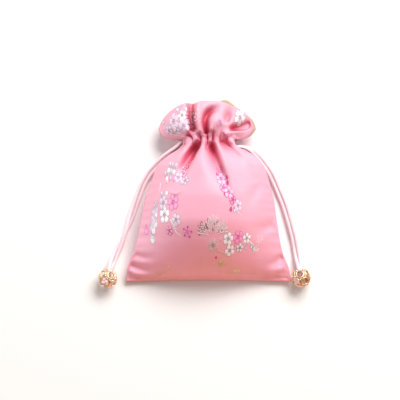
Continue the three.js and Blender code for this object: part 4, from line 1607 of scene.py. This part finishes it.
    def draw_fan(self, spot: Spot) -> None:
        """Hatch a large blossom seen from the side: blades spread evenly by the golden section."""
        for k in range(FAN_BLADES):
            angle = FAN_SPREAD * ((GOLDEN_SHARE * k) % 1 - 0.5)
            lobed = 0.8 + 0.2 * abs(math.cos(2.6 * angle))
            reach = spot.size * math.sqrt((k + 3) / (FAN_BLADES + 3)) * lobed
            place = reach * np.array((math.cos(spot.up + angle), math.sin(spot.up + angle)))
            length = (0.14 + 0.05 * (k % 3)) * spot.size
            blade = self.petal(length, 1.3 * self.stroke, spot.up + angle + 0.4 * math.sin(1.7 * k))
            tint = Tint.INK if k % FAN_DARK == 4 else spot.tint
            self.add_patch(spot, blade + place, tint, over=0.02 * (k % 3))

    def draw_side(self, spot: Spot) -> None:
        """Draw a blossom seen from the side: three petals, two stamens and two sepals."""
        for lean in (-0.62, 0.62, 0.0):
            self.outlined(spot, spot.up + lean, length=0.72, width=0.38, start=0.1)
        self.strokes(spot, [spot.up - 0.3, spot.up + 0.3], spot.line, length=0.4, start=0.1)
        down = spot.up + math.pi
        self.strokes(spot, [down - 0.5, down + 0.5], spot.line, length=0.22, start=-0.05)

    def draw_bud(self, spot: Spot) -> None:
        """Draw one closed petal with two veins."""
        self.outlined(spot, spot.up, length=0.9, width=0.55, start=0.0)
        self.strokes(spot, [spot.up - 0.2, spot.up + 0.2], spot.line, length=0.45, start=0.06)

    def draw_leaf(self, spot: Spot) -> None:
        """Draw a hanging leaf in three slim blades with one vein."""
        down = spot.up + math.pi
        for lean, share in ((0.45, 0.62), (-0.5, 0.55), (0.0, 1.0)):
            self.outlined(spot, down + lean, length=share, width=0.2, start=0.0)
        self.strokes(spot, [down], spot.line, length=0.7, start=0.12)

    def draw_specks(self, spot: Spot) -> None:
        """Strew short floats, spread evenly by the golden angle."""
        for k in range(SPECKS):
            out = 0.13 * spot.size * math.sqrt(k + 0.4)
            angle = spot.up - math.pi / 2 + GOLDEN_ANGLE * k
            length = self.stroke * (2.0 + 1.1 * (k % 3))
            speck = self.petal(length, 1.2 * self.stroke, spot.up + 0.5 * ((k * 5) % 4 - 1.5))
            place = out * np.array((math.cos(angle), math.sin(angle)))
            self.add_patch(spot, speck + place, spot.tint, over=self.speck_over)

    def draw(self, figure: Figure) -> None:
        """Draw one figure of the pattern on the cloth.

        Args:
            figure: the figure.
        """
        drawers = {
            Motif.BLOSSOM: self.draw_blossom,
            Motif.RINGED: self.draw_ringed,
            Motif.DRAWN: self.draw_drawn,
            Motif.FAN: self.draw_fan,
            Motif.SIDE: self.draw_side,
            Motif.BUD: self.draw_bud,
            Motif.LEAF: self.draw_leaf,
            Motif.SPECKS: self.draw_specks,
        }
        up = math.radians(figure.turn) + math.pi / 2
        line = OUTLINES.get(figure.tint, Tint.SILVER)
        spot = Spot(*self.locate(figure.x, figure.hem), figure.size, up, figure.tint, line)
        drawers[figure.motif](spot)

    def draw_twig(self, twig: Twig) -> None:
        """Draw a twig as one narrow strip of floats that tapers to its end.

        Args:
            twig: the twig.
        """
        middle = centripetal(np.array(twig.places, dtype=float), TWIG_STEP)
        ahead = unit(np.gradient(middle, axis=0))
        aside = np.stack([-ahead[:, 1], ahead[:, 0]], axis=-1)
        half = twig.width / 2 * np.linspace(1.0, TWIG_END, len(middle))[:, None]
        count = len(middle)
        heights = np.repeat((self.rim, self.crown + self.twig_rise, self.rim), count)
        strip = np.vstack([middle - aside * half, middle, middle + aside * half])
        points, uv = self.over_plan(strip, heights)
        lanes = [(lane + k, lane + count + k) for k in range(count - 1) for lane in (0, count)]
        self.keep(points, uv, [(near, near + 1, far + 1, far) for near, far in lanes], twig.tint)

    def build(self) -> bpy.types.Object:
        """Build all the floats of the panel as one piece.

        Returns:
            The pattern.
        """
        for figure in self.figures:
            self.draw(figure)
        for twig in self.twigs:
            self.draw_twig(twig)
        made = make_mesh(
            self.name, np.vstack(self.points), self.faces, np.vstack(self.places), np.array(self.tints)
        )
        wear(made, *(FLOATS[tint] for tint in Tint))
        return made


@dataclass
class MouthLining:
    """The champagne satin inside the mouth, on one half."""

    name: str
    cloth: ClothFace
    columns: int = 90
    rows: int = 60
    thickness: float = 0.9
    half_width: float = 30.0
    flat: tuple[float, float] = (0.044, 0.030)

    def build(self) -> bpy.types.Object:
        """Build the lining as a closed sheet.

        Returns:
            The lining.
        """
        stations = np.linspace(LINING_INSETS[0].station, LINING_INSETS[-1].station, self.rows)
        reaches = -np.cos(np.linspace(0, np.pi, self.columns))
        outside = self.cloth.points(reaches, stations, inset=True)
        seam = column(SECTIONS, "seam", stations)
        thickness = np.full(self.rows, self.thickness)
        points, faces, _ = thick_sheet(outside, self.cloth.face.value, thickness, seam)
        run = run_along(outside[:, self.columns // 2])
        grid = np.stack(np.broadcast_arrays(self.half_width * reaches[None, :], run[:, None]), axis=-1)
        made = make_mesh(self.name, points, faces, sheet_uv(grid))
        wear(made, LINING)
        return made


# The cords with their beads


@dataclass
class Drawcord:
    """One satin drawcord: round the neck inside the casing, with both tails out of the same slit.

    slit_sign is 1 for the right slit and -1 for the left. A tail begins in the casing at hidden_turn, in
    degrees from the slit, and leaves the casing's line at exit_turn. The stretch in the casing overlaps it
    and rises to the front by a share of the room there.
    """

    side: str
    slit_sign: int
    tails: tuple[TailPlace, ...]
    diameter: float = 2.2
    spacing: float = 2.45
    sides: int = 16
    step: float = 0.7
    hidden_turn: float = 75.0
    exit_turn: float = 30.0
    overlap: float = 4.0
    rise_share: float = 0.12
    tail_steps: int = 4
    casing_steps: int = 16

    def casing(self, first: float, last: float, steps: int) -> np.ndarray:
        """Points of the stretch in the casing.

        Args:
            first: angle round the neck where it begins, in degrees from the slit.
            last: angle where it ends.
            steps: steps between them.

        Returns:
            The points in millimetres.
        """
        at_neck = np.array(NECK_STATION)
        left, right, rise, seam, pleat = (
            float(column(SECTIONS, name, at_neck)) for name in ("left", "right", "rise", "seam", "pleat")
        )
        clear = 2 * pleat + CLOTH + 2 * SEWN_GAP + self.diameter / 2
        turn = np.radians(np.linspace(first, last, steps + 1))
        across = self.slit_sign * ((left + right) / 2 - clear) * np.cos(turn)
        height = seam + self.rise_share * (rise - clear) * np.sin(turn)
        y = np.full_like(turn, self.tails[0].station - ORIGIN_STATION)
        return np.stack([across, y, height], axis=-1)

    def tail(self, sign: int) -> np.ndarray:
        """Points of one tail, from inside the casing to the knot in the bead.

        Args:
            sign: 1 or -1, the side of the pair's line that this tail lies on.

        Returns:
            The points in millimetres.
        """
        middle = np.array([(p.x, p.station - ORIGIN_STATION, p.z) for p in self.tails])
        ahead = np.gradient(middle, axis=0)
        beside = unit(np.stack([ahead[:, 1], -ahead[:, 0], 0 * ahead[:, 0]], axis=-1))
        roll = np.radians([p.roll for p in self.tails])[:, None]
        offset = np.cos(roll) * beside + np.sin(roll) * np.array(UP)
        outside = middle + sign * self.spacing / 2 * offset
        first, last = self.hidden_turn, self.exit_turn
        if sign < 0:
            first, last = 360 - first, 360 - last
        return centripetal(np.vstack([self.casing(first, last, self.tail_steps), outside]), self.step)

    def build(self) -> list[bpy.types.Object]:
        """Build the two tails and the stretch round the neck.

        Returns:
            The three pieces, the tails first.
        """
        first = self.hidden_turn - self.overlap
        loop = centripetal(self.casing(first, 360 - first, self.casing_steps), self.step)
        paths = {"upper_tail": self.tail(1), "lower_tail": self.tail(-1), "casing": loop}
        made = []
        for part, path in paths.items():
            piece = tube(f"drawcord_{self.side}_{part}", path, self.diameter / 2, self.sides)
            wear(piece, CORD)
            hand_over(piece, f"drawcord_{self.side}")
            made.append(piece)
        return made

    def declare(self, pieces: list[bpy.types.Object], on_it: list[bpy.types.Object]) -> None:
        """Args:
            pieces: what build returned.
            on_it: the bead and the knot; not used.
        """
        for sign, piece in zip((1, -1), pieces):
            path = self.tail(sign) * MM


@dataclass
class OpenworkBead:
    """A hollow gilt bead: a ball with ten round windows, two cord holes, grooves and grains.

    Its cord runs on along axis, seen from above, and roll turns it about that, in degrees. The knot shows
    to knot_side, in a window of its own width. A groove runs round each window at that distance from its
    middle, and a grain stands where three windows meet. The bands round the windows are welded together.
    """

    side: str
    x: float
    station: float
    axis: tuple[float, float]
    roll: float
    knot_side: tuple[float, float, float]
    diameter: float = 11.8
    wall: float = 0.95
    window: float = 4.0
    knot_window: float = 4.9
    hole: float = 5.4
    edge: float = 0.34
    groove: float = 3.2
    groove_depth: float = 0.34
    groove_half: float = 0.26
    grain: float = 0.3
    grain_half: float = 0.5
    around: int = 80
    edge_steps: int = 6
    face_steps: int = 17
    weld: float = 0.002
    knot_radius: float = 1.25
    knot_strand: float = 1.05
    knot_shift: float = 3.4
    knot_flat: float = 0.9
    knot_waves: float = 1.5
    knot_points: int = 180
    knot_sides: int = 14

    def placed(self, points: np.ndarray) -> np.ndarray:
        """Turn points from the bead's own axes, +Y towards the cord, to its place on the floor.

        Args:
            points: the points, one a row.

        Returns:
            The points in millimetres.
        """
        along = Vector((-self.axis[0], -self.axis[1], 0)).normalized()
        turn = Vector((0, 1, 0)).rotation_difference(along) @ Quaternion((0, 1, 0), math.radians(self.roll))
        matrix = np.array(turn.to_matrix())
        return points @ matrix.T + np.array((self.x, self.station - ORIGIN_STATION, self.diameter / 2))

    def window_axes(self) -> np.ndarray:
        """Point to the windows: first the two cord holes, then two rings of five.

        Returns:
            The twelve directions, one a row, as in an icosahedron.
        """
        tilt = math.atan(2)
        axes = [(0.0, 1.0, 0.0), (0.0, -1.0, 0.0)]
        for k in range(5):
            turn = 2 * math.pi * k / 5
            flat = math.sin(tilt)
            direction = np.array((flat * math.sin(turn), math.cos(tilt), flat * math.cos(turn)))
            axes.append(tuple(direction))
            axes.append(tuple(-direction))
        return np.array(axes)

    def knot_place(self, axes: np.ndarray) -> int:
        """Number the window that the knot fills: the one nearest to the given side."""
        seen = (self.placed(axes) - self.placed(np.zeros((1, 3)))) @ np.array(self.knot_side)
        return int(np.argmax(seen))

    def band(self, axis: np.ndarray, axes: np.ndarray, half: float) -> np.ndarray:
        """The ball round one window, out to half way to its neighbours, inside and outside.

        Args:
            axis: the window's direction.
            axes: the directions of all windows.
            half: the window's radius in millimetres.

        Returns:
            Points by place round the window and by place along the section, in the bead's own axes.
        """
        radius = self.diameter / 2
        beside = axes[np.abs(axes @ axis - ICOSAHEDRON_COS) < 0.01]
        one = unit(beside[0] - axis * (beside[0] @ axis))
        two = np.cross(axis, one)
        turn = 2 * np.pi * np.arange(self.around) / self.around
        fifth = 2 * np.pi / 5
        # Tangent of the angle from the window's middle to the straight edge half way to a neighbour
        half_way = 0.5 * (math.sqrt(5) - 1) / np.cos((turn + fifth / 2) % fifth - fifth / 2)
        reach = radius * np.arctan(half_way)
        rim = radius * math.asin(half / radius)
        bend = np.radians(np.linspace(0, 90, self.edge_steps))
        low = radius - self.wall
        wide = reach[:, None] - rim - self.edge
        inner = np.linspace(1, 0, self.edge_steps)[None, :] * wide + rim + self.edge
        outer = np.linspace(0, 1, self.face_steps)[None, 1:] * wide + rim + self.edge
        ones = np.ones((self.around, 1))
        away = np.hstack([
            inner,
            ones * (rim + self.edge * (1 - np.sin(bend)))[None, 1:],
            ones * (rim + self.edge * (1 - np.cos(bend)))[None],
            outer,
        ])
        height = np.hstack([
            np.full_like(inner, low),
            ones * (low + self.edge * (1 - np.cos(bend)))[None, 1:],
            ones * (radius - self.edge * (1 - np.sin(bend)))[None],
            radius - self.groove_depth * hump(outer - self.groove, self.groove_half),
        ])
        spoke = np.cos(turn)[:, None] * one + np.sin(turn)[:, None] * two
        angle = (away / radius)[..., None]
        out = np.cos(angle) * axis + np.sin(angle) * spoke[:, None]
        # A grain stands between this window and two neighbours that are neighbours themselves.
        pairs = [beside[i] + beside[j] for i in range(5) for j in range(i) if beside[i] @ beside[j] > 0.4]
        corners = unit(axis + np.stack(pairs))
        far = radius * np.arccos(np.clip((out @ corners.T).max(axis=-1), -1, 1))
        grain = self.grain * hump(far, self.grain_half)
        grain[:, : away.shape[1] - outer.shape[1]] = 0
        return out * (height + grain)[..., None]

    def build(self) -> bpy.types.Object:
        """Cast the bead as one body from the twelve bands round its windows.

        Returns:
            The bead.
        """
        axes = self.window_axes()
        filled = self.knot_place(axes)
        points, faces = [], []
        for number, axis in enumerate(axes):
            wide = self.hole if number < 2 else self.window
            part = self.band(axis, axes, (self.knot_window if number == filled else wide) / 2)
            places = part.shape[1]
            base = number * self.around * places
            points.append(part.reshape(-1, 3))
            for k in range(self.around):
                after = (k + 1) % self.around
                for s in range(places - 1):
                    here, there = base + k * places + s, base + after * places + s
                    faces.append((here, here + 1, there + 1, there))
        made = make_mesh(f"bead_{self.side}_cast", self.placed(np.vstack(points)), faces)
        cast = bmesh.new()
        cast.from_mesh(made.data)
        bmesh.ops.remove_doubles(cast, verts=cast.verts, dist=self.weld * MM)
        bmesh.ops.recalc_face_normals(cast, faces=cast.faces)
        cast.to_mesh(made.data)
        cast.free()
        made.data.polygons.foreach_set("use_smooth", np.ones(len(made.data.polygons), dtype=bool))
        wear(made, GILT)
        hand_over(made, f"bead_{self.side}")
        return made

    def build_knot(self) -> bpy.types.Object:
        """Tie the knot inside the bead.

        Returns:
            The knot.
        """
        axes = self.window_axes()
        out = axes[self.knot_place(axes)]
        one = unit(np.cross(out, (0.0, 1.0, 0.0)))
        two = np.cross(out, one)
        u = np.linspace(0, 4 * np.pi, self.knot_points, endpoint=False)[:, None]
        ring = self.knot_radius * (2 + np.cos(self.knot_waves * u)) / 2
        wave = self.knot_flat * self.knot_radius * np.sin(self.knot_waves * u)
        path = ring * (np.cos(u) * one + np.sin(u) * two) + (wave + self.knot_shift) * out
        knot = f"knot_{self.side}"
        made = tube(f"{knot}_tied", self.placed(path), self.knot_strand, self.knot_sides, closed=True)
        wear(made, CORD)
        hand_over(made, knot)
        return made


# The studio


@dataclass(frozen=True)
class SoftBox:
    """A soft box: its name, its place and size in metres, its power in watts and its colour, sRGB hex."""

    name: str
    place: tuple[float, float, float]
    size: tuple[float, float]
    watts: float
    colour: str

    def hang(self) -> None:
        """Hang the soft box so that it looks at the pouch."""
        data = bpy.data.lights.new(self.name, "AREA")
        data.shape = "RECTANGLE"
        data.size, data.size_y = self.size
        data.energy = self.watts
        data.color = linear(self.colour)[:3]
        made = bpy.data.objects.new(self.name, data)
        made.location = self.place
        made.rotation_mode = "QUATERNION"
        made.rotation_quaternion = (Vector(POUCH_MIDDLE) - Vector(self.place)).to_track_quat("-Z", "Y")
        bpy.context.scene.collection.objects.link(made)


SOFT_BOXES = (
    SoftBox("key above the mouth", (0.42, 0.75, 0.82), (0.9, 0.55), 17.5, "FFFBF8"),
    SoftBox("low fill from the left", (-0.95, 0.05, 0.15), (0.5, 0.2), 3.2, "FFFFFF"),
    SoftBox("warm fill from the hem", (0.2, -0.88, 0.08), (0.7, 0.16), 2.7, "FF961A"),
)


@dataclass
class Studio:
    """A pale sweep, a large key above the mouth, two low fills and a camera almost overhead.

    The camera looks at aim, in millimetres, and sees frame_width there. The air is brightest towards sky,
    and goes from air_light to air_deep between air_bright and air_dark along that.
    """

    elevation: float = 85.0
    distance: float = 0.9
    aim: tuple[float, float, float] = (-5.4, -6.5, 10.0)
    frame_width: float = 244.0
    sensor: float = 36.0
    sweep_half: float = 900.0
    sky: tuple[float, float, float] = (-0.22, 0.84, 0.5)
    air_dark: float = -0.42
    air_bright: float = 0.36
    air_deep: str = "8A5208"
    air_light: str = "FFFFFF"
    air: float = 0.44

    def camera(self) -> None:
        """Set the camera as the picture was taken."""
        data = bpy.data.cameras.new("camera")
        data.sensor_width = self.sensor
        data.lens = self.sensor * self.distance / (self.frame_width * MM)
        made = bpy.data.objects.new("camera", data)
        bpy.context.scene.collection.objects.link(made)
        tilt = math.radians(self.elevation)
        back = Vector((0, -math.cos(tilt), math.sin(tilt)))
        made.location = Vector(self.aim) * MM + back * self.distance
        made.rotation_mode = "QUATERNION"
        made.rotation_quaternion = (-back).to_track_quat("-Z", "Y")
        bpy.context.scene.camera = made

    def build(self) -> None:
        """Lay the sweep, light the air, hang the soft boxes and set the tone."""
        corners = self.sweep_half * np.array([(-1, -1, 0), (1, -1, 0), (1, 1, 0), (-1, 1, 0)], dtype=float)
        floor = make_mesh("sweep", corners, [(0, 1, 2, 3)])
        floor.data.materials.append(PAPER.build())
        world = bpy.data.worlds.new("studio air")
        world.use_nodes = True
        tree = world.node_tree
        towards = add_node(tree, "ShaderNodeTexCoord").outputs["Generated"]
        dot = {0: towards, 1: self.sky}
        along = add_node(tree, "ShaderNodeVectorMath", dot, operation="DOT_PRODUCT").outputs["Value"]
        steps = {0: along, 1: self.air_dark, 2: self.air_bright}
        share = add_node(tree, "ShaderNodeMapRange", steps, interpolation_type="SMOOTHSTEP").outputs[0]
        two = {0: share, 6: linear(self.air_deep), 7: linear(self.air_light)}
        colour = add_node(tree, "ShaderNodeMix", two, data_type="RGBA").outputs[2]
        tree.links.new(colour, tree.nodes["Background"].inputs[0])
        tree.nodes["Background"].inputs[1].default_value = self.air
        bpy.context.scene.world = world
        for box in SOFT_BOXES:
            box.hang()
        bpy.context.scene.view_settings.view_transform = "Standard"


# The whole pouch


def report(piece: bpy.types.Object) -> None:
    """Say which piece has been built and how fine it is."""
    LOG.info("%s: %d faces", piece.name, len(piece.data.polygons))


def dress_panel(panel: Panel, pattern: Pattern, node: str) -> None:
    """Args:
        panel: the panel.
        pattern: its pattern.
        node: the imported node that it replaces.
    """
    cloth = panel.build()
    floats = pattern.build()
    for piece in (cloth, floats):
        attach(piece, "root")
    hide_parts(node)
    report(cloth)
    report(floats)


def main() -> None:
    """Build the pouch piece by piece, with its studio."""
    logging.basicConfig(level=logging.INFO, format="%(name)s: %(message)s")
    studio = Studio()
    studio.camera()
    for finish in (GROUND, LINING, CORD, GILT, *FLOATS.values()):
        finish.build()
    sides = (
        (
            Drawcord("left", -1, LEFT_TAILS),
            OpenworkBead("left", -61.7, 0.8, (-0.26, -0.96), 23, (-0.36, -0.34, 0.87)),
        ),
        (
            Drawcord("right", 1, RIGHT_TAILS),
            OpenworkBead("right", 56.2, 1.1, (0.12, -0.99), 63, (-0.3, -0.5, 0.81)),
        ),
    )
    for drawcord, bead in sides:
        cords = drawcord.build()
        ball = bead.build()
        knot = bead.build_knot()
        drawcord.declare(cords, [ball, knot])
        for piece in (*cords, ball, knot):
            report(piece)
    front = ClothFace(Face.FRONT, FRONT_FOLDS, FRONT_CRESTS, FRONT_RIM, tuck=1.3)
    back = ClothFace(Face.BACK, BACK_FOLDS, BACK_CRESTS, BACK_RIM)
    back_panel = Panel("back_panel_cloth", back, 131, 80, 40, 34)
    back_pattern = Pattern("back_pattern", back_panel, BACK_FIGURES, BACK_TWIGS)
    dress_panel(back_panel, back_pattern, "back_panel")
    front_panel = Panel("front_panel_cloth", front, 191, 125, 56, 42)
    front_pattern = Pattern("front_pattern", front_panel, FRONT_FIGURES, FRONT_TWIGS)
    dress_panel(front_panel, front_pattern, "front_panel")
    for cloth, half in ((front, "front"), (back, "back")):
        lining = MouthLining(f"lining_{half}_satin", cloth)
        made = lining.build()
        hand_over(made, f"lining_{half}")
        report(made)
    studio.build()


if __name__ == "__main__":
    main()
